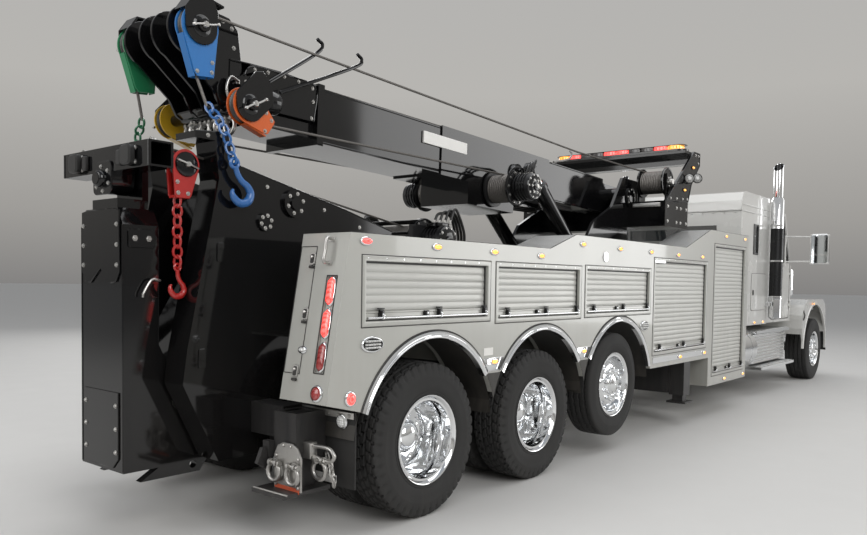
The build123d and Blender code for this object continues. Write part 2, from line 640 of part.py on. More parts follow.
def tanks_steps():
    """Round fuel tanks and the boarding steps under the cab."""
    pieces = []
    for side in (-1, 1):
        tank = rod_x(side * 830, 690, 330, 6560, 7480)
        strap = box(6700, 6760, side * RAIL_Y, side * 600, 720, 940) + box(7280, 7340, side * RAIL_Y, side * 600, 720, 940)
        step = box(7560, 9270, side * 700, side * 1200, 380, 420)
        riser = box(7560, 9270, side * 680, side * 720, 380, 940)
        upper = box(7560, 9270, side * 680, side * 1120, 900, 940)
        link = box(7700, 7800, side * RAIL_Y, side * 690, 760, 900) + box(9000, 9100, side * RAIL_Y, side * 690, 760, 900)
        pieces.append(joined([tank, strap, step, riser, upper, link]))
    return joined(pieces)


def mud_flaps():
    """Rubber sheets hung behind the rear wheels."""
    return both(box(FLAP_X, FLAP_X + 12, 640, 1250, 320, 792))


def tower_plate_outline():
    """One turret cheek from the slewing platform to the boom's pivot."""
    return [
        (3320, 1340), (3320, 1800), (3700, 2270), (4150, 2480), (4400, 2830), (4760, 2830), (4980, 2590),
        (4980, WEIGHT_Z), (4540, WEIGHT_Z), (4540, 1340),
    ]


def turret_frame():
    """Platform, cheeks, counterweight and the forward-leaning portal that turns with them."""
    ring = rod_z(SLEW_X, 0, SLEW_R, PEDESTAL_Z + RUN, 1300)
    platform = rod_z(SLEW_X, 0, TOWER_R, 1300, 1340)
    cheeks = both(side_plate(tower_plate_outline(), TOWER_Y - TOWER_T, TOWER_Y))
    pin = rod_y(BOOM_PIVOT[0], BOOM_PIVOT[1], BOOM_PIN_R, -TOWER_Y - 20, TOWER_Y + 20)
    lugs = both(side_plate([(LIFT_PIN[0] - 130, 1340), (LIFT_PIN[0] - 80, LIFT_PIN[1] + 80), (LIFT_PIN[0] + 80, LIFT_PIN[1] + 80), (LIFT_PIN[0] + 130, 1340)], LIFT_LUG[0], LIFT_LUG[1]))
    lift_pin = both(rod_y(LIFT_PIN[0], LIFT_PIN[1], 45, LIFT_LUG[0], TOWER_Y - TOWER_T))
    weight = box(4960, 5250, -950, 950, WEIGHT_Z, 2590)
    weight = weight + both(box(4560, 4960, TOWER_Y, 950, WEIGHT_Z, 2560))
    portal = both(side_plate([(4580, 2560), (5250, 2590), (5350, 2820), (5600, 3070), (5600, 3230), (5410, 3230)], 925, 950))
    beam = box(5430, 5590, -925, 925, 3090, 3220)
    shelf = box(5180, 5430, -925, 925, 3190, 3220)
    drums = []
    for y in (-720, 720):
        drums.append(rod_y(4800, 2800, 100, y - 140, y + 140))
        drums.append(rod_y(4800, 2800, 165, y - 155, y - 140))
        drums.append(rod_y(4800, 2800, 165, y + 140, y + 155))
        drums.append(box(4720, 4880, y - 180, y - 155, 2560, 2890))
        drums.append(box(4720, 4880, y + 155, y + 180, 2560, 2890))
    return joined([ring, platform, cheeks, pin, lugs, lift_pin, weight, portal, beam, shelf] + drums)


def light_bar():
    """The row of warning lamps across the portal's top."""
    return box(5190, 5420, -915, 915, 3220, 3310)


def along_boom(piece):
    """Lays a piece drawn along +X from the pivot onto the boom's own line, which runs back and up."""
    return Pos(BOOM_PIVOT[0], 0, BOOM_PIVOT[1]) * Rot(0, BOOM_RISE, 0) * Rot(0, 0, 180) * piece


def tube(x0, x1, half_w, half_h, wall):
    """A hollow box section along X, centred on the boom's line."""
    outer = box(x0, x1, -half_w, half_w, -half_h, half_h)
    return outer - box(x0 - 1, x1 + 1, -half_w + wall, half_w - wall, -half_h + wall, half_h - wall)


MID_HALF_W = BASE_HALF_W - WALL - MID_GAP
MID_HALF_H = BASE_HALF_H - WALL - MID_GAP
TIP_HALF_W = MID_HALF_W - WALL - MID_GAP
TIP_HALF_H = MID_HALF_H - WALL - MID_GAP


def boom_base():
    """The boom's outer section with the pivot boss and the ears over the lift cylinders."""
    body = tube(250, BASE_LEN, BASE_HALF_W, BASE_HALF_H, WALL)
    foot = box(-110, 250, -BASE_HALF_W, BASE_HALF_W, -150, 150)
    boss = rod_y(0, 0, 120, -TOWER_Y + TOWER_T + MOVE_GAP, TOWER_Y - TOWER_T - MOVE_GAP)
    bore = rod_y(0, 0, BOOM_PIN_R + RUN, -TOWER_Y, TOWER_Y)
    collar = tube(BASE_LEN - 60, BASE_LEN, BASE_HALF_W + 22, BASE_HALF_H + 22, WALL + 22 + MID_GAP - SLIDE_GAP)
    sleeve = tube(1500, 3300, BASE_HALF_W + 14, BASE_HALF_H + 14, 14)
    cradle = box(2150, 2900, -BASE_HALF_W - 14, BASE_HALF_W + 14, -420, -BASE_HALF_H - 14)
    return along_boom(joined([body, foot, boss, collar, sleeve, cradle]) - bore)


def boom_winches():
    """The two planetary winches on the boom's sides and the frame that holds them."""
    pieces = []
    for side in (-1, 1):
        a = side * (BASE_HALF_W + 14)
        b = side * 560
        drum = rod_y(WINCH[0], WINCH[1], 105, a, b)
        flange = rod_y(WINCH[0], WINCH[1], 165, b - side * 16, b)
        inner_flange = rod_y(WINCH[0], WINCH[1], 165, side * (BASE_HALF_W + 26), side * (BASE_HALF_W + 42))
        gearbox = rod_y(WINCH[0], WINCH[1], 120, b, side * 750)
        pieces.append(joined([drum, flange, inner_flange, gearbox]))
    return along_boom(joined(pieces))


def boom_mid():
    """The middle section, seen only at its collar."""
    body = tube(1000, 5350, MID_HALF_W, MID_HALF_H, WALL)
    collar = tube(5290, 5350, MID_HALF_W + 24, MID_HALF_H + 24, WALL + 24 + MID_GAP - SLIDE_GAP)
    return along_boom(body + collar)


def boom_tip():
    """The inner section and the head plates that carry the sheaves."""
    body = tube(1100, TIP_END, TIP_HALF_W, TIP_HALF_H, WALL)
    cheeks = []
    for y in (-250, -70, 70, 250):
        cheeks.append(side_plate([(5400, -190), (5400, 170), (5560, 560), (5720, 590), (5950, 300), (5900, 150), (5620, -60)], y - 10, y + 10))
    cap = box(5420, 5500, -250, 250, -150, 150)
    pins = rod_y(5800, 300, 40, -430, 430) + rod_y(5480, -120, 40, -520, 520)
    return along_boom(joined([body, cap, pins] + cheeks))


def sheave_pair(x, z, r, y, side):
    """A pulley with a guard plate on its outer side."""
    wheel = rod_y(x, z, r, side * (y - 30), side * (y + 30)) - rod_y(x, z, 40, side * (y - 40), side * (y + 40))
    guard = rod_y(x, z, r + 30, side * (y + 30), side * (y + 42)) - rod_y(x, z, 40, side * (y), side * (y + 50))
    return wheel + guard


def upper_sheaves():
    return along_boom(sheave_pair(5800, 300, 120, 340, 1) + sheave_pair(5800, 300, 120, 340, -1))


def lower_sheaves():
    return along_boom(sheave_pair(5480, -120, 110, 420, 1) + sheave_pair(5480, -120, 110, 420, -1))


LIFT_LEN = hypot(LIFT_EYE[0] - LIFT_PIN[0], LIFT_EYE[1] - LIFT_PIN[1])
LIFT_TILT = degrees(atan2(LIFT_EYE[1] - LIFT_PIN[1], LIFT_PIN[0] - LIFT_EYE[0]))


def along_lift(piece):
    """Lays a piece drawn along +X onto the lift cylinder's line, from its lower pin."""
    return Pos(LIFT_PIN[0], 0, LIFT_PIN[1]) * Rot(0, LIFT_TILT, 0) * Rot(0, 0, 180) * piece


def lift_barrels():
    y0, y1 = LIFT_Y - LIFT_EYE_W / 2, LIFT_Y + LIFT_EYE_W / 2
    eye = rod_y(0, 0, 90, y0, y1)
    barrel = rod_x(LIFT_Y, 0, LIFT_R, 60, LIFT_LEN - 190)
    bore = rod_x(LIFT_Y, 0, LIFT_ROD_R + RUN, 130, LIFT_LEN)
    pin_bore = rod_y(0, 0, 45 + RUN, y0 - 1, y1 + 1)
    return along_lift(both(eye + barrel - bore - pin_bore))


def lift_rods():
    y0, y1 = LIFT_Y - LIFT_EYE_W / 2, LIFT_Y + LIFT_EYE_W / 2
    rod = rod_x(LIFT_Y, 0, LIFT_ROD_R, 140, LIFT_LEN - 50)
    eye = rod_y(LIFT_LEN, 0, 85, y0, y1)
    pin = rod_y(LIFT_LEN, 0, 42, BASE_HALF_W + 14 + MOVE_GAP, y1 + 30)
    return along_lift(both(joined([rod, eye, pin])))


def lift_arm():
    """The arm hung from the mast that carries the stinger's pin."""
    a, b = ARM_PIN, STINGER_PIN
    outline = [(a[0] + 90, a[1] - 40), (a[0] + 40, a[1] + 90), (a[0] - 60, a[1] + 90), (a[0] - 110, a[1] + 20), (b[0] - 60, b[1] + 220), (b[0] - 85, b[1] + 20), (b[0] - 40, b[1] - 80), (b[0] + 40, b[1] - 80), (b[0] + 120, b[1] + 60)]
    arm = side_plate(outline, -185, 185)
    head = rod_y(a[0], a[1], 92, -MAST_Y[0] + MOVE_GAP, MAST_Y[0] - MOVE_GAP)
    arm = arm + head - rod_y(a[0], a[1], ARM_PIN_R + RUN, -300, 300)
    pin = rod_y(b[0], b[1], STINGER_PIN_R, -STINGER_Y - 6, STINGER_Y + 6)
    return arm + pin


def stinger_outer():
    """The folded outer box with the ears that turn on the arm's pin."""
    x0, x1 = STINGER_X
    z0, z1 = STINGER_Z
    y = STINGER_Y
    shell = end_plate([(-y, z0), (-y, z1 - 100), (-y + 60, z1), (y - 60, z1), (y, z1 - 100), (y, z0)], x0, x1)
    w = STINGER_WALL
    shell = shell - end_plate([(-150, z0 + 120), (-150, z1 + 1), (150, z1 + 1), (150, z0 + 120)], x0 + w, x1 - w)
    b = STINGER_PIN
    ear = side_plate([(x1, z0), (x1, 1180), (b[0] - 60, 1000), (b[0] + 70, b[1] + 110), (b[0] + 90, b[1] - 40), (-1050, 420), (-1100, 350), (x1 - 120, 350)], 192, y)
    ear = ear - rod_y(b[0], b[1], STINGER_PIN_R + RUN, 180, y + 10)
    ear = ear - rod_y(-1150, 400, 24, 180, y + 10)
    return shell + both(ear)


def stinger_inner():
    """The sliding inner box, its head plate and the pin the crossbar swings on."""
    x0, x1 = STINGER_X
    w = STINGER_WALL + SLIDE_GAP
    body = box(x0 + w, x1 - w, -150 + SLIDE_GAP, 150 - SLIDE_GAP, 600, 2060)
    head = box(-1440, -1400, -150, 150, 2040, 2330)
    neck = box(x0 + w, -1400, -144, 144, 2010, 2060)
    pin = rod_x(0, BAR_PIN_Z, 38, -1660, -1440)
    return joined([body, head, neck, pin])


def crossbar():
    """The square tube across the stinger's head, swinging on its pin."""
    x0, x1 = -1455 - BAR_SIZE, -1455
    z1 = BAR_TOP
    z0 = z1 - BAR_SIZE
    shell = box(x0, x1, -BAR_HALF, BAR_HALF, z0, z1) - box(x0 + 12, x1 - 12, -BAR_HALF - 1, BAR_HALF + 1, z0 + 12, z1 - 12)
    hub = rod_x(0, BAR_PIN_Z, 90, x0, x1) + box(x0, x1, -90, 90, BAR_PIN_Z, z0 + 6)
    return (shell + hub) - rod_x(0, BAR_PIN_Z, 38 + RUN, x0 - 1, x1 + 1)


def outrigger_beam(side):
    """A sliding beam with the leg's sleeve on its outer end."""
    x0, x1 = OUT_X
    mid = (x0 + x1) / 2
    g = SLIDE_GAP
    if side > 0:
        a, b = mid + 8 + g, x1 - 15 - g
    else:
        a, b = x0 + 15 + g, mid - 8 - g
    z0, z1 = OUT_Z
    beam = box(a, b, side * -700, side * 1075, z0 - 20 + g, z1 - g)
    c = (a + b) / 2
    sleeve = box(c - 90, c + 90, side * 1070, side * (OUT_END + 40), z0 - 60, z1 + 32)
    hole = box(c - LEG_SIZE / 2 - g, c + LEG_SIZE / 2 + g, side * (1158 - LEG_SIZE / 2 - g), side * (1158 + LEG_SIZE / 2 + g), z0 - 70, z1 + 70)
    return beam + (sleeve - hole)


def outrigger_leg(side):
    x0, x1 = OUT_X
    mid = (x0 + x1) / 2
    if side > 0:
        c = (mid + 8 + x1 - 15) / 2
    else:
        c = (x0 + 15 + mid - 8) / 2
    h = LEG_SIZE / 2
    leg = box(c - h, c + h, side * (1158 - h), side * (1158 + h), LEG_FOOT_Z + 20, OUT_Z[1] + 28)
    foot = box(c - 110, c + 110, side * (1158 - 110), side * (1158 + 110), LEG_FOOT_Z, LEG_FOOT_Z + 20)
    return leg + foot


def rear_jack(side):
    g = SLIDE_GAP
    leg = box(JACK_X - 75 + g, JACK_X + 75 - g, side * (JACK_Y - 65 + g), side * (JACK_Y + 65 - g), JACK_FOOT_Z + 24, 775)
    foot = box(JACK_X - 240, JACK_X + 125, side * (JACK_Y - 150), side * (JACK_Y + 150), JACK_FOOT_Z, JACK_FOOT_Z + 24)
    return leg + foot


def wheel_pieces():
    """Every tyre and rim, named by axle and side."""
    pieces = {}
    for side, word in ((1, "left"), (-1, "right")):
        for number, x in (("rear", DRIVE_X[0]), ("middle", DRIVE_X[1])):
            pieces[f"tyres_{number}_{word}"] = dual_tyres(x, side)
            pieces[f"rims_{number}_{word}"] = dual_rim(x, side)
        pieces[f"tyre_lift_axle_{word}"] = plain_tyre(PUSHER_X, PUSHER_Z, side * PUSHER_Y, PUSHER_W, PUSHER_TYRE_R)
        pieces[f"rim_lift_axle_{word}"] = convex_rim(PUSHER_X, PUSHER_Z, PUSHER_Y, PUSHER_W, side, PUSHER_DISC)
        pieces[f"tyre_steer_{word}"] = plain_tyre(STEER_X, AXLE_Z, side * STEER_Y, STEER_W, TYRE_R)
        pieces[f"rim_steer_{word}"] = convex_rim(STEER_X, AXLE_Z, STEER_Y, STEER_W, side, STEER_DISC)
    return pieces


def all_pieces():
    pieces = {
        "chassis_frame": chassis_frame(),
        "driveline": driveline(),
        "mud_flaps": mud_flaps(),
        "bumper": bumper(),
        "cab_shell": cab_shell(),
        "cab_glass": cab_glass(),
        "cab_interior": cab_interior(),
        "exhaust_stacks": exhaust_stacks(),
        "tanks_steps": tanks_steps(),
        "body_boxes": body_boxes(),
        "shutters": shutters(),
        "arch_trims": arch_trims(),
        "marker_lamps": marker_lamps(),
        "mast": mast(),
        "mast_sheave": mast_sheave(),
        "drag_winch": drag_winch(),
        "hood_shell": hood_shell(),
        "hood_bright": hood_bright(),
        "turret_frame": turret_frame(),
        "light_bar": light_bar(),
        "boom_base": boom_base(),
        "boom_winches": boom_winches(),
        "boom_mid": boom_mid(),
        "boom_tip": boom_tip(),
        "upper_sheaves": upper_sheaves(),
        "lower_sheaves": lower_sheaves(),
        "lift_barrels": lift_barrels(),
        "lift_rods": lift_rods(),
        "lift_arm": lift_arm(),
        "stinger_outer": stinger_outer(),
        "stinger_inner": stinger_inner(),
        "crossbar": crossbar(),
    }
    for side, word in ((1, "left"), (-1, "right")):
        pieces[f"door_{word}"] = on_side(cab_door(), side)
        pieces[f"door_glass_{word}"] = on_side(door_glass(), side)
        pieces[f"knuckle_{word}"] = knuckle(side)
        pieces[f"outrigger_beam_{word}"] = outrigger_beam(side)
        pieces[f"outrigger_leg_{word}"] = outrigger_leg(side)
        pieces[f"rear_jack_{word}"] = rear_jack(side)
    pieces.update(wheel_pieces())
    return pieces


def main():
    os.makedirs("parts", exist_ok=True)
    for name, piece in all_pieces().items():
        moved = Pos(-MID_X, 0, 0) * piece
        export_step(Compound(children=moved.solids()), f"parts/{name}.step")


main()
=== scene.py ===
import bmesh
import bpy
import numpy as np
from mathutils import Matrix, Vector


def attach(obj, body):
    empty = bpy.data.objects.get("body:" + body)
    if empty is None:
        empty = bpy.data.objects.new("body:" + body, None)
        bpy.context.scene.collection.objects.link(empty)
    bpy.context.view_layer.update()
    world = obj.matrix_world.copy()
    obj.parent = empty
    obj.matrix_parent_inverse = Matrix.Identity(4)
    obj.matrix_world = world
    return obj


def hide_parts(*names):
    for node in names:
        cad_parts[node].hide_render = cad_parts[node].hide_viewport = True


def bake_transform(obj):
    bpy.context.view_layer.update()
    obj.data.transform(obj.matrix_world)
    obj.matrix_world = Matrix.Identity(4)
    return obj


bl_info = {
    "name": "Rotator tow truck looks",
    "version": (1, 0, 0),
    "blender": (4, 5, 0),
    "location": "3D View > Sidebar > Tow truck",
    "description": "Builds the looks of the tow truck round its packed CAD frame",
    "category": "Object",
}

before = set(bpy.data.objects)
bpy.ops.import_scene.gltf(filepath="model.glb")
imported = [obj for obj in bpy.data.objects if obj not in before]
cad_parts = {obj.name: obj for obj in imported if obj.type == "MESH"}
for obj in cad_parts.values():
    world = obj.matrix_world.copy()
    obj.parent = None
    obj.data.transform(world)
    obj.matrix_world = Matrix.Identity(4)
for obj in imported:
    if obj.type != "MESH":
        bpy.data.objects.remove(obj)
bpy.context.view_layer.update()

# The CAD's X is measured from the middle of the truck; the sizes here are from the rearmost axle.
REAR_X = -4.85
DRIVE_X = (0.0, 1.38)
PUSHER_X, STEER_X = 2.76, 10.5
AXLE_Z, PUSHER_Z = 0.525, 0.64
TAU = 2 * np.pi


class TowTruckPaint(bpy.types.PropertyGroup):
    body: bpy.props.FloatVectorProperty(
        name="Locker paint", subtype="COLOR", size=3, default=(0.43, 0.43, 0.4),
    )
    cab: bpy.props.FloatVectorProperty(name="Cab paint", subtype="COLOR", size=3, default=(0.66, 0.655, 0.63))
    dust: bpy.props.FloatProperty(name="Road dust", min=0.0, max=1.0, default=0.35)


class TowTruckWheels(bpy.types.PropertyGroup):
    steps: bpy.props.IntProperty(name="Tread steps round a tyre", min=60, max=400, default=308)
    lugs: bpy.props.IntProperty(name="Tread lugs round a tyre", min=20, max=90, default=44)
    depth: bpy.props.FloatProperty(name="Tread depth (m)", min=0.0, max=0.03, default=0.014)


class TowTruckLamps(bpy.types.PropertyGroup):
    amber: bpy.props.FloatProperty(name="Amber glow", min=0.0, max=20.0, default=3.0)
    red: bpy.props.FloatProperty(name="Red glow", min=0.0, max=20.0, default=3.5)


def at(x, y, z):
    """A point given from the rearmost axle, in the frame's own X."""
    return np.array([x + REAR_X, y, z], float)


def xyz(x, y, z):
    """Rows of points from coordinates that may be arrays or single numbers."""
    return np.stack(np.broadcast_arrays(x, y, z), -1)


def grid_faces(rows, cols, wrap_rows=False, wrap_cols=False):
    """Quads of a rows by cols grid of points: quad (i, j) joins (i, j), (i+1, j), (i+1, j+1), (i, j+1)."""
    i = np.arange(rows if wrap_rows else rows - 1)
    j = np.arange(cols if wrap_cols else cols - 1)
    i, j = [a.ravel() for a in np.meshgrid(i, j, indexing="ij")]
    i2, j2 = (i + 1) % rows, (j + 1) % cols
    return np.stack([i * cols + j, i2 * cols + j, i2 * cols + j2, i * cols + j2], 1).tolist()


def capped(rows, cols):
    """Faces of a tube of rows rings, each of cols points, with a cap at both ends."""
    ends = [list(range(cols)), list(range((rows - 1) * cols, rows * cols))[::-1]]
    return grid_faces(rows, cols, wrap_cols=True) + ends


class Pile:
    """Points and faces that end up as one piece."""

    def __init__(self):
        self.points, self.faces, self.count = [], [], 0

    def add(self, points, faces):
        points = np.asarray(points, float).reshape(-1, 3)
        base = self.count
        self.faces += [[base + k for k in face] for face in faces]
        self.points.append(points)
        self.count += len(points)
        return self

    def __iadd__(self, shape):
        return self.add(*shape)

    def mirrored(self):
        """Adds the same again on the other side, P(x, y, z) -> P(x, -y, z)."""
        points = np.concatenate(self.points) * [1, -1, 1]
        faces = [face[::-1] for face in self.faces]
        return self.add(points, faces)

    def piece(self, name, material, body, smooth=40, replaces=()):
        """Makes the object. The body is a name to ride on; any other body, such as two bodies and two points,
        leaves the object on no body with its transform baked in.
        """
        mesh = bpy.data.meshes.new(name)
        mesh.from_pydata(np.concatenate(self.points).tolist(), [], self.faces)
        mesh.validate()
        shape = bmesh.new()
        shape.from_mesh(mesh)
        bmesh.ops.recalc_face_normals(shape, faces=shape.faces)
        shape.to_mesh(mesh)
        shape.free()
        obj = bpy.data.objects.new(name, mesh)
        bpy.context.scene.collection.objects.link(obj)
        mesh.materials.append(material)
        if smooth:
            mesh.polygons.foreach_set("use_smooth", np.ones(len(mesh.polygons), bool))
            mesh.set_sharp_from_angle(angle=np.radians(smooth))
        if isinstance(body, str):
            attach(obj, body)
        else:
            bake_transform(obj)
        if replaces:
            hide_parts(*replaces)


def ring(n, start=0.0):
    """n angles round a circle."""
    return start + TAU * np.arange(n) / n


def lathe(profile, centre, axis, steps=48):
    """Turns (radius, along) points about an axis: P = centre + r cos(t) u + r sin(t) v + along axis."""
    profile = np.asarray(profile, float)
    a = np.asarray(axis, float) / np.linalg.norm(axis)
    u = np.cross(a, [0, 0, 1.0]) if abs(a[2]) < 0.9 else np.cross(a, [1.0, 0, 0])
    u /= np.linalg.norm(u)
    v = np.cross(a, u)
    t = ring(steps)[:, None, None]
    r, d = profile[None, :, 0:1], profile[None, :, 1:2]
    points = np.asarray(centre, float) + r * np.cos(t) * u + r * np.sin(t) * v + d * a
    return points.reshape(-1, 3), grid_faces(steps, len(profile), wrap_rows=True)


def frames_along(path):
    """Two directions across a path at each point, turned as little as possible from one to the next."""
    path = np.asarray(path, float)
    tangent = np.gradient(path, axis=0)
    tangent /= np.linalg.norm(tangent, axis=1)[:, None]
    u = np.cross(tangent[0], [0, 0, 1.0])
    if np.linalg.norm(u) < 0.1:
        u = np.cross(tangent[0], [1.0, 0, 0])
    across = []
    for t in tangent:
        u = u - t * (u @ t)
        u /= np.linalg.norm(u)
        across.append(u)
    across = np.array(across)
    return across, np.cross(tangent, across)


def sweep(path, section, radius=None):
    """Carries a section of (a, b) points along a path: P = path + a u + b v, scaled by the radius there."""
    path, section = np.asarray(path, float), np.asarray(section, float)
    u, v = frames_along(path)
    k = np.ones(len(path)) if radius is None else np.asarray(radius, float)
    points = path[:, None] + k[:, None, None] * (
        section[None, :, 0:1] * u[:, None] + section[None, :, 1:2] * v[:, None]
    )
    return points.reshape(-1, 3), capped(len(path), len(section))


def disc(r, n=10):
    t = ring(n)
    return np.stack([r * np.cos(t), r * np.sin(t)], 1)


def curve_through(points, n=24):
    """A smooth line through a few points (Catmull-Rom), n steps a span."""
    p = np.asarray(points, float)
    p = np.concatenate([[2 * p[0] - p[1]], p, [2 * p[-1] - p[-2]]])
    out = []
    t = np.linspace(0, 1, n, endpoint=False)[:, None]
    for a, b, c, d in zip(p[:-3], p[1:-2], p[2:-1], p[3:]):
        out.append(
            0.5 * (2 * b + (c - a) * t + (2 * a - 5 * b + 4 * c - d) * t**2 + (3 * b - a - 3 * c + d) * t**3)
        )
    out.append(p[-2][None])
    return np.concatenate(out)


def tube(points, r, n=24, sides=8):
    """A round hose or bar through a few points."""
    return sweep(curve_through(points, n), disc(r, sides))


def plate(outline, thick, edge, origin, u, v, w):
    """A flat plate with softened edges: rings of the outline at four heights, P = origin + a u + b v + h w.
    The outline is a list of (a, b) points, pulled towards its middle by edge on the outer rings."""
    outline = np.asarray(outline, float)
    nxt, prv = np.roll(outline, -1, 0), np.roll(outline, 1, 0)
    e1 = (outline - prv) / np.maximum(np.linalg.norm(outline - prv, axis=1), 1e-9)[:, None]
    e2 = (nxt - outline) / np.maximum(np.linalg.norm(nxt - outline, axis=1), 1e-9)[:, None]
    area = np.sum(outline[:, 0] * nxt[:, 1] - nxt[:, 0] * outline[:, 1])
    n1 = np.stack([-e1[:, 1], e1[:, 0]], 1) * np.sign(area)
    n2 = np.stack([-e2[:, 1], e2[:, 0]], 1) * np.sign(area)
    inward = (n1 + n2) / np.maximum(1 + np.sum(n1 * n2, 1), 0.35)[:, None]
    inner = outline + inward * edge
    u, v, w = [np.asarray(k, float) for k in (u, v, w)]
    rows = []
    for ring2, h in ((inner, 0.0), (outline, edge), (outline, thick - edge), (inner, thick)):
        rows.append(np.asarray(origin, float) + ring2[:, 0:1] * u + ring2[:, 1:2] * v + h * w)
    n = len(outline)
    faces = grid_faces(4, n, wrap_cols=True) + [list(range(n))[::-1], list(range(3 * n, 4 * n))]
    return np.concatenate(rows), faces


def rounded(width, height, r, steps=5):
    """Outline of a rounded rectangle about its middle."""
    r = min(r, width / 2 - 1e-5, height / 2 - 1e-5)
    t = np.linspace(0, np.pi / 2, steps)
    out = []
    for k, (sx, sy) in enumerate(((1, 1), (-1, 1), (-1, -1), (1, -1))):
        a = t + k * np.pi / 2
        out.append(np.stack([sx * (width / 2 - r) + r * np.cos(a), sy * (height / 2 - r) + r * np.sin(a)], 1))
    return np.concatenate(out)


def slab(centre, size, edge=0.003):
    """A softened block about its centre, axes along the frame's."""
    w, d, h = size
    return plate(
        rounded(w, d, edge * 1.5, 3), h, edge, np.asarray(centre) - [0, 0, h / 2], [1, 0, 0], [0, 1, 0],
        [0, 0, 1],
    )


SIDE_U, SIDE_V = np.array([1.0, 0, 0]), np.array([0, 0, 1.0])
ACROSS, BACK = np.array([0.0, 1.0, 0.0]), np.array([-1.0, 0, 0])


def side_plate(outline, thick, edge, x, y, z):
    """A plate on a face that looks to the left, its outline in (x, z)."""
    return plate(outline, thick, edge, at(x, y, z), SIDE_U, SIDE_V, ACROSS)


def rear_plate(outline, thick, edge, x, y, z):
    """A plate on a face that looks to the rear, its outline in (y, z)."""
    return plate(outline, thick, edge, at(x, y, z), ACROSS, SIDE_V, BACK)


def bead(corners, r, sides=8):
    """Straight round beads from corner to corner."""
    pile = Pile()
    for a, b in zip(corners[:-1], corners[1:]):
        pile += tube([a, b], r, 2, sides)
    return np.concatenate(pile.points), pile.faces


def circle(place, x, y, z, radius, angles):
    """Points round a circle that faces sideways; place is at or on_boom."""
    return [place(x + radius * np.cos(a), y, z + radius * np.sin(a)) for a in angles]


def mirrored_pieces(body, rows):
    """Mirrors each pile and makes it a piece: pile, name, material, edge angle, nodes that it replaces."""
    for pile, name, material, smooth, *replaced in rows:
        pile.mirrored().piece(name, material, body, smooth, replaced)


def per_side(prefix, body, rows):
    """Makes each (name, pile, material) twice: as it is on the left body and mirrored on the right one."""
    for side, word in ((1, "left"), (-1, "right")):
        for name, pile, material in rows:
            points = np.concatenate(pile.points) * [1, side, 1]
            Pile().add(points, pile.faces).piece(f"{prefix}_{name}_{word}", material, f"{body}_{word}", 40)


def bolts(places, axis, r=0.011, h=0.009):
    """Hexagon heads with a washer under each, at the places given."""
    pile = Pile()
    profile = [(0.0, h), (r * 0.8, h), (r, h * 0.7), (r, h * 0.2), (r * 1.45, h * 0.2), (r * 1.45, 0.0)]
    for p in places:
        pile += lathe(profile, p, axis, 6)
    return np.concatenate(pile.points), pile.faces


def side_bolts(y, places, r, h):
    """Bolts on a face that looks to the left, at (x, z) places."""
    return bolts([at(px, y, pz) for px, pz in places], ACROSS, r, h)


def chain(points, link, wire):
    """Oval links along a line, each turned a quarter from the last."""
    path = curve_through(points, 40)
    step = np.linalg.norm(np.diff(path, axis=0), axis=1)
    run = np.concatenate([[0], np.cumsum(step)])
    count = max(2, int(run[-1] / (link * 0.72)))
    s = (np.arange(count) + 0.5) * run[-1] / count
    centre = np.stack([np.interp(s, run, path[:, k]) for k in range(3)], 1)
    direction = np.stack([np.interp(s, run, np.gradient(path, axis=0)[:, k]) for k in range(3)], 1)
    direction /= np.linalg.norm(direction, axis=1)[:, None]
    t = ring(12)
    pile = Pile()
    for k in range(count):
        d = direction[k]
        side = np.cross(d, [0.3, 1.0, 0.2] if k % 2 else [1.0, 0.3, 0.1])
        side /= np.linalg.norm(side)
        out = np.cross(d, side)
        loop = centre[k] + np.cos(t)[:, None] * d * link * 0.5 + np.sin(t)[:, None] * side * link * 0.34
        radial = np.cos(t)[:, None] * d + np.sin(t)[:, None] * side
        w = ring(6)
        points = loop[:, None] + wire * (
            np.cos(w)[None, :, None] * radial[:, None] + np.sin(w)[None, :, None] * out
        )
        pile.add(points.reshape(-1, 3), grid_faces(12, 6, True, True))
    return np.concatenate(pile.points), pile.faces


GROUPS, MATERIALS = {}, {}


def set_sockets(made, **values):
    """Sets a node's input sockets by name, with _ for a space."""
    for name, value in values.items():
        made.inputs[name.replace("_", " ")].default_value = value


def node(tree, kind, *links, **values):
    """Adds a shader node with its values set; links are pairs of an output and this node's input."""
    made = tree.nodes.new("ShaderNode" + kind)
    set_sockets(made, **values)
    for source, name in links:
        tree.links.new(source, made.inputs[name])
    return made


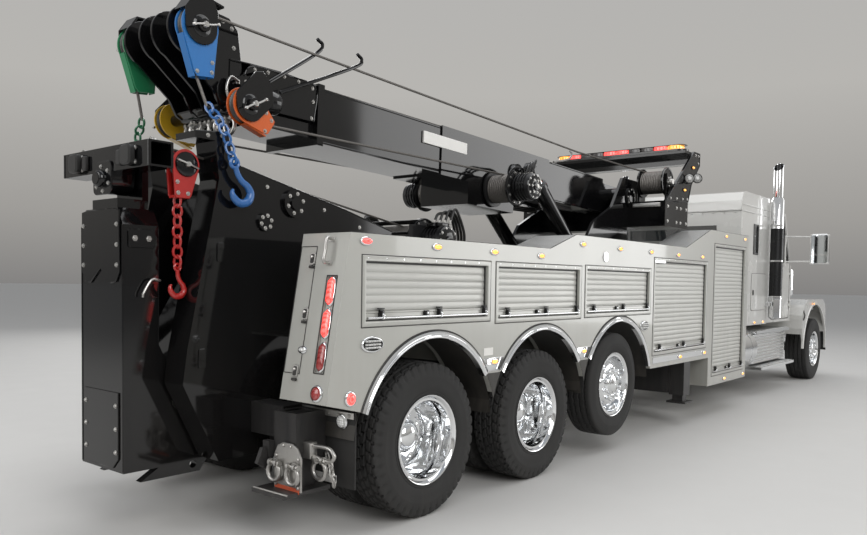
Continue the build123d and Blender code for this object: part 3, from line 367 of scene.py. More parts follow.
def wear_group():
    """Node group that adds road dust, faint streaks and fine grain to a finish.
    Dust gathers low down; Grain is the bump's size in the object's own coordinates."""
    g = bpy.data.node_groups.new("Finish wear", "ShaderNodeTree")
    for name, kind, default in (
        ("Colour", "Color", (0.5, 0.5, 0.5, 1)), ("Dust colour", "Color", (0.3, 0.27, 0.22, 1)),
        ("Dust", "Float", 0.3), ("Roughness", "Float", 0.4), ("Grain", "Float", 60.0),
        ("Bump", "Float", 0.05), ("Mottle", "Float", 0.05),
    ):
        socket = g.interface.new_socket(name, in_out="INPUT", socket_type=f"NodeSocket{kind}")
        socket.default_value = default
    for name, kind in (("Colour", "Color"), ("Roughness", "Float"), ("Normal", "Vector")):
        g.interface.new_socket(name, in_out="OUTPUT", socket_type=f"NodeSocket{kind}")
    into, out = g.nodes.new("NodeGroupInput").outputs, g.nodes.new("NodeGroupOutput").inputs
    place = node(g, "TexCoord").outputs["Object"]
    height = node(g, "SeparateXYZ", (place, 0)).outputs["Z"]
    low = node(g, "MapRange", (height, "Value"), From_Min=1.6, From_Max=0.25, To_Min=0.12, To_Max=1.0)
    cloud = node(g, "TexNoise", (place, "Vector"), Scale=2.3, Detail=6.0).outputs["Fac"]
    tall = node(g, "Mapping", (place, 0), Scale=(9.0, 9.0, 0.8)).outputs[0]
    streak = node(g, "TexNoise", (tall, "Vector"), Scale=2.0, Detail=3.0).outputs["Fac"]

    def math(operation, *values):
        m = node(g, "Math")
        m.operation = operation
        for k, value in enumerate(values):
            if isinstance(value, float):
                m.inputs[k].default_value = value
            else:
                g.links.new(value, m.inputs[k])
        return m.outputs[0]

    mask = math("MULTIPLY", math("MULTIPLY", cloud, streak), low.outputs["Result"])
    mask = math("MULTIPLY", mask, math("MULTIPLY", into["Dust"], 3.0))
    dusty = node(g, "Clamp", (mask, "Value")).outputs[0]
    tint = node(g, "Mix")
    tint.data_type = "RGBA"
    for source, name in ((dusty, "Factor"), (into["Colour"], "A"), (into["Dust colour"], "B")):
        g.links.new(source, tint.inputs[name])
    fine = node(g, "TexNoise", (place, "Vector"), (into["Grain"], "Scale"), Detail=4.0).outputs["Fac"]
    value = math("ADD", 1.0, math("MULTIPLY", math("SUBTRACT", fine, 0.5), into["Mottle"]))
    shade = node(g, "HueSaturation", (tint.outputs["Result"], "Color"), (value, "Value"))
    g.links.new(shade.outputs[0], out["Colour"])
    rough = math("ADD", into["Roughness"], math("MULTIPLY", dusty, 0.35))
    patchy = math("MULTIPLY", math("SUBTRACT", cloud, 0.5), math("MULTIPLY", into["Roughness"], 0.5))
    g.links.new(math("ADD", rough, patchy), out["Roughness"])
    bump = node(g, "Bump", (into["Bump"], "Strength"), (fine, "Height"), Distance=0.002)
    g.links.new(bump.outputs[0], out["Normal"])
    return g


def new_material(name):
    """A new material, its node tree and its Principled shader."""
    m = bpy.data.materials.new(name)
    m.use_nodes = True
    MATERIALS[name] = m
    return m, m.node_tree, m.node_tree.nodes["Principled BSDF"]


def finish(
    name, colour, rough, metal=0.0, coat=0.0, dust=None, dust_colour=(0.25, 0.22, 0.18), grain=90.0,
    bump=0.04, mottle=0.06,
):
    """A material whose colour, roughness and normal come through the wear group."""
    if name in MATERIALS:
        return MATERIALS[name]
    if "wear" not in GROUPS:
        GROUPS["wear"] = wear_group()
    m, tree, shader = new_material(name)
    w = tree.nodes.new("ShaderNodeGroup")
    w.node_tree = GROUPS["wear"]
    dust = bpy.context.scene.tow_paint.dust if dust is None else dust
    set_sockets(w, Colour=(*colour, 1), Dust_colour=(*dust_colour, 1), Dust=dust, Roughness=rough)
    set_sockets(w, Grain=grain, Bump=bump, Mottle=mottle)
    for source, name in (("Colour", "Base Color"), ("Roughness", "Roughness"), ("Normal", "Normal")):
        tree.links.new(w.outputs[source], shader.inputs[name])
    set_sockets(shader, Metallic=metal, Coat_Weight=coat, Coat_Roughness=0.04)
    return m


def lamp_lens(name, colour, glow, dots=70.0):
    """A lit lens: a bright core falls off towards the edge through a cell pattern, under a clear coat."""
    if name in MATERIALS:
        return MATERIALS[name]
    m, tree, shader = new_material(name)
    place = node(tree, "TexCoord").outputs["Object"]
    cells = node(tree, "TexVoronoi", (place, "Vector"), Scale=dots, Randomness=0.15)
    ramp = node(tree, "ValToRGB", (cells.outputs["Distance"], 0))
    core, edge = ramp.color_ramp.elements
    core.color = (*[min(1.0, c * 1.4 + 0.12) for c in colour], 1)
    edge.color = (*[c * 0.55 for c in colour], 1)
    edge.position = 0.62
    for socket in ("Base Color", "Emission Color"):
        tree.links.new(ramp.outputs[0], shader.inputs[socket])
    set_sockets(shader, Emission_Strength=glow, Roughness=0.15, Coat_Weight=1.0)
    return m


def glass_material():
    """Dark tinted glass, faintly cloudy."""
    m, tree, shader = new_material("Tinted glass")
    place = node(tree, "TexCoord").outputs["Object"]
    cloud = node(tree, "TexNoise", (place, "Vector"), Scale=3.0)
    ramp = node(tree, "ValToRGB", (cloud.outputs["Fac"], 0))
    ramp.color_ramp.elements[0].color = (0.018, 0.022, 0.024, 1)
    ramp.color_ramp.elements[1].color = (0.03, 0.034, 0.036, 1)
    tree.links.new(ramp.outputs[0], shader.inputs["Base Color"])
    set_sockets(shader, Roughness=0.03, Alpha=0.55, Coat_Weight=0.6)
    return m


def body_paint():
    return finish(
        "Locker paint", bpy.context.scene.tow_paint.body, 0.3, metal=0.15, coat=0.8, dust=0.25, grain=900,
        bump=0.01, mottle=0.05,
    )


def cab_paint():
    return finish(
        "Cab paint", bpy.context.scene.tow_paint.cab, 0.25, coat=1.0, dust=0.15, grain=700, bump=0.01,
        mottle=0.02,
    )


def gloss_black():
    return finish("Gloss black", (0.0035, 0.0035, 0.004), 0.07, dust=0.03, grain=9, bump=0.006, mottle=0.2)


def frame_black():
    return finish(
        "Frame black", (0.009, 0.009, 0.01), 0.38, dust=0.22, dust_colour=(0.12, 0.11, 0.1), grain=60,
        bump=0.08, mottle=0.4,
    )


def chrome():
    return finish(
        "Chrome", (0.86, 0.87, 0.88), 0.06, metal=1.0, dust=0.05, dust_colour=(0.35, 0.32, 0.28), grain=6,
        bump=0.0015, mottle=0.02,
    )


def bright_alloy():
    return finish(
        "Brushed alloy", (0.66, 0.66, 0.65), 0.3, metal=0.9, dust=0.15, grain=320, bump=0.04, mottle=0.08,
    )


def treadplate():
    """Bright plate with raised lozenges: the higher of two cell patterns a quarter turn apart."""
    m = finish("Tread plate", (0.2, 0.2, 0.2), 0.32, metal=0.55, dust=0.3, grain=200, bump=0.05, mottle=0.1)
    tree = m.node_tree
    shader, place = tree.nodes["Principled BSDF"], node(tree, "TexCoord").outputs["Object"]
    most = node(tree, "Math")
    most.operation = "MAXIMUM"
    for k, (turn, shift) in enumerate(((np.pi / 4, 0.0), (-np.pi / 4, 0.5))):
        laid = node(
            tree, "Mapping", (place, 0), Rotation=(0, 0, turn), Scale=(18.0, 36.0, 1.0),
            Location=(shift, shift, 0),
        )
        cell = tree.nodes.new("ShaderNodeTexVoronoi")
        cell.voronoi_dimensions = "2D"
        set_sockets(cell, Scale=1.0, Randomness=0.0)
        tree.links.new(laid.outputs[0], cell.inputs["Vector"])
        ramp = node(tree, "ValToRGB", (cell.outputs["Distance"], 0))
        top, flat = ramp.color_ramp.elements
        top.position, flat.position = 0.22, 0.34
        top.color, flat.color = (1, 1, 1, 1), (0, 0, 0, 1)
        tree.links.new(ramp.outputs[0], most.inputs[k])
    bump = node(tree, "Bump", (most.outputs[0], "Height"), Strength=0.9, Distance=0.004)
    tree.links.new(bump.outputs[0], shader.inputs["Normal"])
    worn = node(tree, "Mix")
    worn.data_type = "RGBA"
    tree.links.new(most.outputs[0], worn.inputs["Factor"])
    tree.links.new(shader.inputs["Base Color"].links[0].from_socket, worn.inputs[6])
    worn.inputs[7].default_value = (0.8, 0.8, 0.78, 1)
    tree.links.new(worn.outputs[2], shader.inputs["Base Color"])
    return m


def tyre_rubber():
    return finish(
        "Tyre rubber", (0.016, 0.016, 0.016), 0.8, dust=0.22, dust_colour=(0.075, 0.07, 0.064), grain=220,
        bump=0.15, mottle=0.3,
    )


def hose_rubber():
    return finish("Hose rubber", (0.012, 0.012, 0.012), 0.45, dust=0.2, grain=300, bump=0.1, mottle=0.3)


def rope_steel():
    return finish("Wire rope", (0.16, 0.15, 0.14), 0.45, metal=0.8, dust=0.3, grain=420, bump=0.6, mottle=0.5)


GUARDS = {
    "Blue guard": (0.02, 0.16, 0.45), "Green guard": (0.02, 0.22, 0.09), "Orange guard": (0.6, 0.1, 0.01),
    "Yellow guard": (0.7, 0.42, 0.02), "Red guard": (0.42, 0.012, 0.01), "Blue chain": (0.02, 0.12, 0.36),
    "Green chain": (0.02, 0.16, 0.07),
}


def guard_paint(name):
    return finish(name, GUARDS[name], 0.32, coat=0.6, dust=0.12, grain=80, bump=0.06, mottle=0.12)


def plated_steel():
    return finish(
        "Plated steel", (0.52, 0.51, 0.49), 0.32, metal=0.9, dust=0.2, grain=200, bump=0.08, mottle=0.2,
    )


def blank_label():
    return finish("Blank label", (0.8, 0.79, 0.76), 0.45, dust=0.1, grain=200)


def lamp_housing():
    return finish("Light bar housing", (0.02, 0.02, 0.02), 0.3, coat=0.4)


def clear_lens():
    return lamp_lens("Clear lens", (0.75, 0.75, 0.72), 0.15)


def amber_lens():
    return lamp_lens("Amber lens", (0.9, 0.3, 0.02), bpy.context.scene.tow_lamps.amber)


def red_lens():
    return lamp_lens("Red lens lit", (0.85, 0.02, 0.012), bpy.context.scene.tow_lamps.red, 190)


def set_stage(context):
    """The photograph's camera, the floor, the world and five soft lamps."""
    # The camera fitted to the photograph: angles in radians; focal length, width and shift in its pixels
    yaw, pitch, roll, focal = 0.6865, -0.0413, 0.0144, 767.455
    photo_width, shift, sensor = 867, 46.1, 36.0
    forward = np.array([np.cos(yaw) * np.cos(pitch), np.sin(yaw) * np.cos(pitch), np.sin(pitch)])
    right = np.array([np.sin(yaw), -np.cos(yaw), 0.0])
    up = np.cross(right, forward)
    r2 = right * np.cos(roll) + up * np.sin(roll)
    u2 = -right * np.sin(roll) + up * np.cos(roll)
    cam = bpy.data.objects.new("camera", bpy.data.cameras.new("camera"))
    context.scene.collection.objects.link(cam)
    cam.matrix_world = Matrix(
        [(r2[k], u2[k], -forward[k], p) for k, p in enumerate(at(-3.9486, -4.5167, 1.5867))] + [(0, 0, 0, 1)]
    )
    cam.data.sensor_width = sensor
    cam.data.lens = sensor * focal / photo_width
    cam.data.shift_y = shift / photo_width
    cam.data.clip_end = 400
    context.scene.camera = cam
    t, r = ring(96)[:, None], np.array([0.0, 4.0, 9.0, 16.0, 26.0, 180.0])[None]
    floor = Pile().add(xyz(r * np.cos(t), r * np.sin(t), r * 0), grid_faces(96, 6, wrap_rows=True))
    pale = finish("Pale floor", (0.62, 0.61, 0.59), 0.75, dust=0.0, grain=3, bump=0.0, mottle=0.04)
    mesh = bpy.data.meshes.new("floor")
    mesh.from_pydata(np.concatenate(floor.points).tolist(), [], floor.faces)
    mesh.materials.append(pale)
    ground = bpy.data.objects.new("floor", mesh)
    context.scene.collection.objects.link(ground)
    world = bpy.data.worlds.new("studio")
    context.scene.world = world
    world.use_nodes = True
    tree = world.node_tree
    height = node(tree, "SeparateXYZ", (node(tree, "TexCoord").outputs["Generated"], 0)).outputs["Z"]
    spread = node(tree, "MapRange", (height, "Value"), From_Min=-0.2, From_Max=1.0)
    ramp = node(tree, "ValToRGB", (spread.outputs["Result"], 0))
    stops = ramp.color_ramp.elements
    stops[0].color, stops[1].color = (0.3, 0.29, 0.28, 1), (0.55, 0.6, 0.68, 1)
    for place, colour in (
        (0.16, (0.42, 0.41, 0.4, 1)), (0.23, (0.62, 0.6, 0.57, 1)), (0.36, (0.86, 0.84, 0.8, 1)),
        (0.6, (0.8, 0.8, 0.8, 1)),
    ):
        stops.new(place).color = colour
    sky = tree.nodes["Background"]
    tree.links.new(ramp.outputs[0], sky.inputs["Color"])
    sky.inputs["Strength"].default_value = 0.55
    for name, place, aim, size, power in (
        ("key", (-9.0, -13.0, 9.0), (0, 0, 1.2), 8.0, 950),
        ("glow", (18.0, -15.0, 4.5), (-3, 0, 1.6), 11.0, 1000),
        ("fill", (-16.0, 4.0, 7.0), (-2, 0, 1.2), 8.0, 600),
        ("rim", (6.0, 13.0, 9.0), (0, 0, 1.5), 9.0, 700),
        ("top", (0.0, -1.0, 12.0), (0, 0, 0), 12.0, 700),
    ):
        lamp = bpy.data.lights.new(name, "AREA")
        lamp.energy, lamp.size = power, size
        obj = bpy.data.objects.new(name, lamp)
        obj.location = place
        obj.rotation_euler = (Vector(aim) - Vector(place)).to_track_quat("-Z", "Y").to_euler()
        context.scene.collection.objects.link(obj)
    context.scene.view_settings.view_transform = "Standard"
    context.scene.view_settings.look = "None"


class TOWTRUCK_OT_stage(bpy.types.Operator):
    """Camera at the photograph's place, pale floor and soft studio light"""

    bl_idname = "towtruck.stage"
    bl_label = "Stage and camera"

    def execute(self, context):
        set_stage(context)
        return {"FINISHED"}


# What the names of the wheels' nodes end in, single wheels first, then the twin ones
ENDS = ("steer_left", "steer_right", "lift_axle_left", "lift_axle_right")
PAIRS = ("rear_left", "rear_right", "middle_left", "middle_right")
# The CAD nodes that stay in view, by the finish they get
CAD_FINISH = {
    "gloss": (
        "mast", "turret_frame", "boom_base", "boom_mid", "boom_tip", "lift_arm", "stinger_outer",
        "stinger_inner", "crossbar", "lift_barrels",
    ),
    "frame": (
        "chassis_frame", "driveline", "drag_winch", "boom_winches", "knuckle_left", "knuckle_right",
        "outrigger_beam_left", "outrigger_beam_right", "outrigger_leg_left", "outrigger_leg_right",
        "rear_jack_left", "rear_jack_right",
    ),
    "chrome": (
        "bumper", "exhaust_stacks", "tanks_steps", "arch_trims", "hood_bright", "lift_rods",
        *[f"rim_{end}" for end in ENDS], *[f"rims_{pair}" for pair in PAIRS],
    ),
    "cab": ("cab_shell", "hood_shell", "door_left", "door_right"),
    "body": ("body_boxes",),
    "alloy": ("shutters",),
    "tyre": ("mud_flaps", *[f"tyre_{end}" for end in ENDS], *[f"tyres_{pair}" for pair in PAIRS]),
    "glass": ("cab_glass", "door_glass_left", "door_glass_right"),
}


def cad_finishes():
    """Each CAD node gets the finish of its row in CAD_FINISH, or its own."""
    table = {
        "gloss": gloss_black(), "frame": frame_black(), "chrome": chrome(), "cab": cab_paint(),
        "body": body_paint(),
        "alloy": bright_alloy(), "tyre": tyre_rubber(), "glass": glass_material(),
    }
    for key, nodes in CAD_FINISH.items():
        for node in nodes:
            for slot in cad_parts[node].material_slots:
                slot.material = table[key]
    singles = {
        "cab_interior": finish("Cab trim", (0.05, 0.045, 0.04), 0.7, dust=0.0, grain=300, bump=0.2),
        "marker_lamps": amber_lens(),
        "mast_sheave": guard_paint("Red guard"),
        "light_bar": lamp_housing(),
        "upper_sheaves": guard_paint("Blue guard"),
        "lower_sheaves": guard_paint("Orange guard"),
    }
    for node, material in singles.items():
        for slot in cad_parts[node].material_slots:
            slot.material = material


class TOWTRUCK_OT_finishes(bpy.types.Operator):
    """Paint, metal, rubber and glass on the CAD pieces that stay in view"""

    bl_idname = "towtruck.finishes"
    bl_label = "Finishes on the CAD pieces"

    def execute(self, context):
        cad_finishes()
        return {"FINISHED"}


HAND_HOLES, NUT_CIRCLE = 10, 0.1475
TYRE_SHAPES = {
    # name: (outer radius, width)
    "drive": (0.525, 0.28),
    "lift": (0.492, 0.29),
    "steer": (0.525, 0.36),
}


def tyre_surface(kind, centre_y, x, z, side, block, coarse=1):
    """A tyre as one closed grid. Across it the radius follows bead, bulged sidewall, shoulder and crown;
    round the wheel, grooves are sunk where |sin| of the lug count passes a limit that shifts from rib to rib.
    P = (x + r cos t, y, z + r sin t), with r lowered by the tread depth in a groove."""
    s = bpy.context.scene.tow_wheels
    outer, width = TYRE_SHAPES[kind]
    h = width / 2
    bead = 0.292
    wall = np.array([
        (bead, -h + 0.026), (bead + 0.012, -h + 0.012), (bead + 0.03, -h + 0.006),
        (bead + 0.034, -h + 0.009), (bead + 0.042, -h + 0.004), (bead + 0.085, -h + 0.001),
        (outer - 0.105, -h + 0.0006), (outer - 0.1, -h - 0.0002), (outer - 0.094, -h + 0.0006),
        (outer - 0.06, -h + 0.004), (outer - 0.045, -h + 0.009), (outer - 0.03, -h + 0.01),
        (outer - 0.012, -h + 0.017),
    ])
    crown_y = np.linspace(-h + 0.024, h - 0.024, 33)
    crown_r = outer - 0.002 - 0.007 * np.abs(crown_y / h) ** 3
    section = np.concatenate([wall, np.stack([crown_r, crown_y], 1), wall[::-1] * [1, -1]])
    n = s.steps // coarse
    t = ring(n)
    r = np.repeat(section[None, :, 0], n, 0)
    y = np.repeat(section[None, :, 1], n, 0)
    on_crown, on_wall = np.zeros(len(section)), np.zeros(len(section))
    first, last = len(wall), len(wall) + len(crown_y)
    on_crown[first:last] = 1.0
    on_wall[first - 3:first] = 1.0
    on_wall[last:last + 3] = 1.0
    v = section[:, 1] / h
    if block:
        ribs = np.floor((v + 1) * 3.0)
        part = ((v + 1) * 3.0) % 1.0
        along = (part < 0.1) | (1.0 - part < 0.1)
        along = along & (np.abs(v) < 0.8)
        phase = t[:, None] * s.lugs / TAU + 0.5 * (ribs % 2)[None] + 0.16 * np.sin(v * 14)[None]
        across = np.abs(phase % 1.0 - 0.5) < 0.09
        groove = (along[None] | across) * on_crown[None]
        shoulder = (
            np.abs((t[:, None] * s.lugs / TAU + 0.5 * (ribs % 2)[None]) % 1.0 - 0.5) < 0.1
        ) * on_wall[None]
        r = r - s.depth * groove - 0.006 * shoulder
        y = y - np.sign(v)[None] * 0.007 * shoulder
    else:
        wave = 0.03 * np.sin(t * s.lugs)[:, None]
        grooves = np.zeros((n, len(section)), bool)
        for c in (-0.56, -0.19, 0.19, 0.56):
            grooves |= np.abs(v[None] - c - wave) < 0.045
        sipes = (np.abs((t[:, None] * s.lugs / TAU) % 1.0 - 0.5) < 0.05) & (np.abs(v[None]) > 0.74)
        r = r - s.depth * (grooves * on_crown[None]) - 0.005 * (sipes * on_crown[None])
    points = xyz(x + REAR_X + r * np.cos(t)[:, None], side * centre_y + y, z + r * np.sin(t)[:, None])
    return points.reshape(-1, 3), grid_faces(n, len(section), wrap_rows=True)


def hand_holes(r, t, circle_r, hole_r, depth):
    """How far round holes sink a wheel's disc at radius r and angle t; their centres lie on a circle."""
    turn = (t * HAND_HOLES / TAU % 1 - 0.5) * TAU / HAND_HOLES
    away = np.sqrt((r * np.cos(turn) - circle_r) ** 2 + (r * np.sin(turn)) ** 2)
    return depth * np.clip(1 - away / hole_r, 0, 1) ** 0.35


def wheel_nuts(pile, nut, c, side):
    """The ring of nuts, each between two hand holes."""
    for a in ring(HAND_HOLES, TAU / (2 * HAND_HOLES)):
        pile += lathe(nut, c + [NUT_CIRCLE * np.cos(a), 0, NUT_CIRCLE * np.sin(a)], (0, side, 0), 12)


def deep_rim(x, side):
    """The polished outer wheel of a pair: lip, stepped barrel, dished disc, hand holes, domed hub cover."""
    pile = Pile()
    y_out, y_disc = 1.116 + 0.14, 0.947
    c = at(x, 0, AXLE_Z)
    lip = [(r, y_out + d) for r, d in (
        (0.2915, -0.026), (0.2985, -0.02), (0.3035, -0.01), (0.302, -0.003), (0.296, -0.004), (0.29, -0.012),
        (0.276, -0.024), (0.27, -0.04), (0.266, -0.075), (0.256, -0.09), (0.254, -0.13), (0.253, -0.2),
    )]
    lip += [(0.25, y_disc + 0.062), (0.247, y_disc + 0.034), (0.24, y_disc + 0.022)]
    pile += lathe(lip, c, (0, side, 0), 96)
    n = 120
    t = ring(n)[:, None]
    r = np.linspace(0.24, 0.105, 22)[None]
    sink = hand_holes(r, t, 0.205, 0.027, 0.03)
    y = y_disc + 0.022 - 0.006 * np.sin((0.24 - r) / 0.135 * np.pi) - sink + 0 * t
    points = xyz(c[0] + r * np.cos(t), side * y, c[2] + r * np.sin(t))
    pile.add(points, grid_faces(n, 22, wrap_rows=True))
    hub = [(r, y_disc + d) for r, d in (
        (0.128, 0.01), (0.126, 0.04), (0.12, 0.052), (0.108, 0.056), (0.104, 0.062), (0.102, 0.105),
        (0.098, 0.124), (0.086, 0.142), (0.064, 0.156), (0.034, 0.163), (0.0, 0.165),
    )]
    pile += lathe(hub, c, (0, side, 0), 64)
    nut = [
        (0.017, y_disc + 0.01), (0.017, y_disc + 0.034), (0.0155, y_disc + 0.052), (0.01, y_disc + 0.06),
        (0.0, y_disc + 0.062),
    ]
    wheel_nuts(pile, nut, c, side)
    return pile


def domed_rim(x, z, y_face, side):
    """A single polished wheel that bulges out: lip, barrel, convex disc, hand holes, nuts, a small cap."""
    pile = Pile()
    c = at(x, 0, z)
    lip = [(r, y_face - d) for r, d in (
        (0.2915, 0.026), (0.2985, 0.02), (0.303, 0.01), (0.3015, 0.003), (0.296, 0.004), (0.289, 0.014),
        (0.274, 0.03), (0.268, 0.06), (0.264, 0.1), (0.256, 0.11),
    )]
    pile += lathe(lip, c, (0, side, 0), 96)
    n = 120
    t = ring(n)[:, None]
    r = np.linspace(0.256, 0.1, 26)[None]
    sink = hand_holes(r, t, 0.218, 0.024, 0.035)
    radii, depths = [0.1, 0.15, 0.185, 0.215, 0.24, 0.256], [-0.036, -0.034, -0.04, -0.06, -0.092, -0.11]
    bulge = np.interp(r, radii, depths)
    points = xyz(c[0] + r * np.cos(t), side * (y_face + bulge - sink + 0 * t), c[2] + r * np.sin(t))
    pile.add(points, grid_faces(n, 26, wrap_rows=True))
    hub = [
        (0.104, y_face - 0.038), (0.1, y_face - 0.02), (0.092, y_face - 0.01), (0.074, y_face - 0.008),
        (0.07, y_face - 0.001), (0.0, y_face),
    ]
    pile += lathe(hub, c, (0, side, 0), 48)
    nut = [(0.02, y_face - 0.04), (0.02, y_face - 0.012), (0.016, y_face - 0.002), (0.0, y_face)]
    wheel_nuts(pile, nut, c, side)
    return pile


def wheels():
    """Twin wheels are one piece per axle and side."""
    rubber, shine = tyre_rubber(), chrome()
    for side, word in ((1, "left"), (-1, "right")):
        for number, x in (("rear", DRIVE_X[0]), ("middle", DRIVE_X[1])):
            pile = Pile()
            for y, coarse in ((0.778, 2), (1.116, 1)):
                pile += tyre_surface("drive", y, x, AXLE_Z, side, True, coarse)
            pile.piece(
                f"tyres_{number}_{word}_tread", rubber, f"wheels_{number}_{word}",
                replaces=(f"tyres_{number}_{word}",),
            )
            deep_rim(x, side).piece(
                f"wheel_{number}_{word}_bright", shine, f"wheels_{number}_{word}", smooth=50,
            )
        for kind, x, z, y in (("lift_axle", PUSHER_X, PUSHER_Z, 1.11), ("steer", STEER_X, AXLE_Z, 1.035)):
            shape = "lift" if kind == "lift_axle" else "steer"
            pile = Pile().add(*tyre_surface(shape, y, x, z, side, False))
            pile.piece(
                f"tyre_{kind}_{word}_tread", rubber, f"wheel_{kind}_{word}",
                replaces=(f"tyre_{kind}_{word}",),
            )
            face = y + TYRE_SHAPES[shape][1] / 2 - 0.004
            domed_rim(x, z, face, side).piece(
                f"wheel_{kind}_{word}_bright", shine, f"wheel_{kind}_{word}", smooth=50,
            )


class TOWTRUCK_OT_wheels(bpy.types.Operator):
    """Tyres with their tread and the polished wheels"""

    bl_idname = "towtruck.wheels"
    bl_label = "Wheels"

    def execute(self, context):
        wheels()
        return {"FINISHED"}


# x from, x to, z from, z to of the roller doors, from the rearmost axle, and how far the face stands out
DOORS = (
    (-0.69, 0.63, 1.31, 1.74, 0.0), (0.7, 1.99, 1.29, 1.74, 0.0), (2.06, 3.435, 1.295, 1.75, 0.0),
    (3.51, 5.02, 0.865, 1.865, 0.0), (5.24, 6.4, 0.505, 2.09, 0.0),
)
BODY_Y = 1.295  # the lockers' outer face
# x, z of the amber side lamps on the lockers' faces, on the strip and under the sleeper
AMBERS = (
    (0.01, 1.818), (0.67, 1.811), (1.321, 1.805), (2.006, 1.93), (2.722, 1.92), (3.421, 1.918),
    (4.121, 1.914), (4.831, 1.917), (0.69, 1.008), (2.055, 1.003),
)
FRONT_AMBERS = ((5.617, 2.195), (6.327, 2.195), (5.684, 0.445), (6.394, 0.445))
STRIP_AMBERS = ((4.229, 0.81), (4.954, 0.81))
SLEEPER_AMBERS = ((7.37, 1.075), (7.76, 1.075))
# x, z of the centre and z of the rear and front end of each wheel opening's trim
ARCHES = ((0.0, AXLE_Z, 0.79, 0.93), (1.38, AXLE_Z, 0.93, 0.93), (PUSHER_X, AXLE_Z + 0.025, 0.93, 0.775))
ARCH_R = 0.72  # inner radius of the trims


def prism(section, x0, x1):
    """A closed (y, z) outline carried straight along x and capped."""
    s = np.asarray(section, float)
    n = len(s)
    points = [np.stack([np.full(n, x + REAR_X), s[:, 0], s[:, 1]], 1) for x in (x0, x1)]
    return np.concatenate(points), capped(2, n)


def mitred(x0, x1, z0, z1, profile, side):
    """Carries a closed (outset, y) profile round a rectangle on the side, with mitred corners."""
    d, y = np.asarray(profile, float).T
    sx, sz = np.array([-1, 1, 1, -1])[:, None], np.array([-1, -1, 1, 1])[:, None]
    x = (x0 + x1) / 2 + REAR_X + sx * ((x1 - x0) / 2 + d)
    z = (z0 + z1) / 2 + sz * ((z1 - z0) / 2 + d)
    points = xyz(x, side * y + 0 * x, z)
    return points.reshape(-1, 3), grid_faces(4, len(d), True, True)


def oval(centre, u, v, w, a, b, profile, steps=32, closed=False):
    """Rings round an ellipse: P = c + (a k + o) cos t u + (b k + o) sin t v + h w for each (k, o, h)."""
    k, o, h = [c[None, :, None] for c in np.asarray(profile, float).T]
    t = ring(steps)[:, None, None]
    points = np.asarray(centre, float) + (a * k + o) * np.cos(t) * u + (b * k + o) * np.sin(t) * v + h * w
    return points.reshape(-1, 3), grid_faces(steps, k.shape[1], True, closed)


# k, outset and height round a lamp's bright bezel
BEZEL = (
    (1, 0.001, 0.0), (1, 0.01, 0.001), (1, 0.012, 0.006), (1, 0.008, 0.011), (1, 0.002, 0.012),
    (1, 0.0, 0.006),
)
# k, outset and height of a lamp's domed lens, as for the bezel above
LENS = (
    (1.0, 0.0, 0.004), (1.0, 0, 0.009), (0.92, 0, 0.014), (0.75, 0, 0.018), (0.5, 0, 0.021),
    (0.25, 0, 0.0225), (0.01, 0, 0.023),
)


def side_oval(x, y, z, a, b, profile, steps=32, closed=False):
    """An oval ring or dome on a face that looks to the left."""
    return oval(at(x, y, z), SIDE_U, SIDE_V, ACROSS, a, b, profile, steps, closed)


def side_lamp(bezels, lenses, x, y, z, a=0.037, b=0.0135):
    """An oval marker lamp: a bright bezel round a domed lens."""
    bezels += side_oval(x, y, z, a, b, BEZEL, closed=True)
    lenses += side_oval(x, y, z, a, b, LENS)


def slat_section(z0, z1, y, pitch=0.0475):
    """Front of a roller curtain, y = y0 + 6 mm |sin(pi (z - z0) / pitch)|^0.35, closed by a flat back."""
    z = np.linspace(z0, z1, int((z1 - z0) / pitch) * 12 + 1)
    front = y + 0.0065 * np.abs(np.sin(np.pi * (z - z0) / pitch)) ** 0.35
    return np.concatenate([np.stack([front, z], 1), [[y - 0.006, z1], [y - 0.006, z0]]])


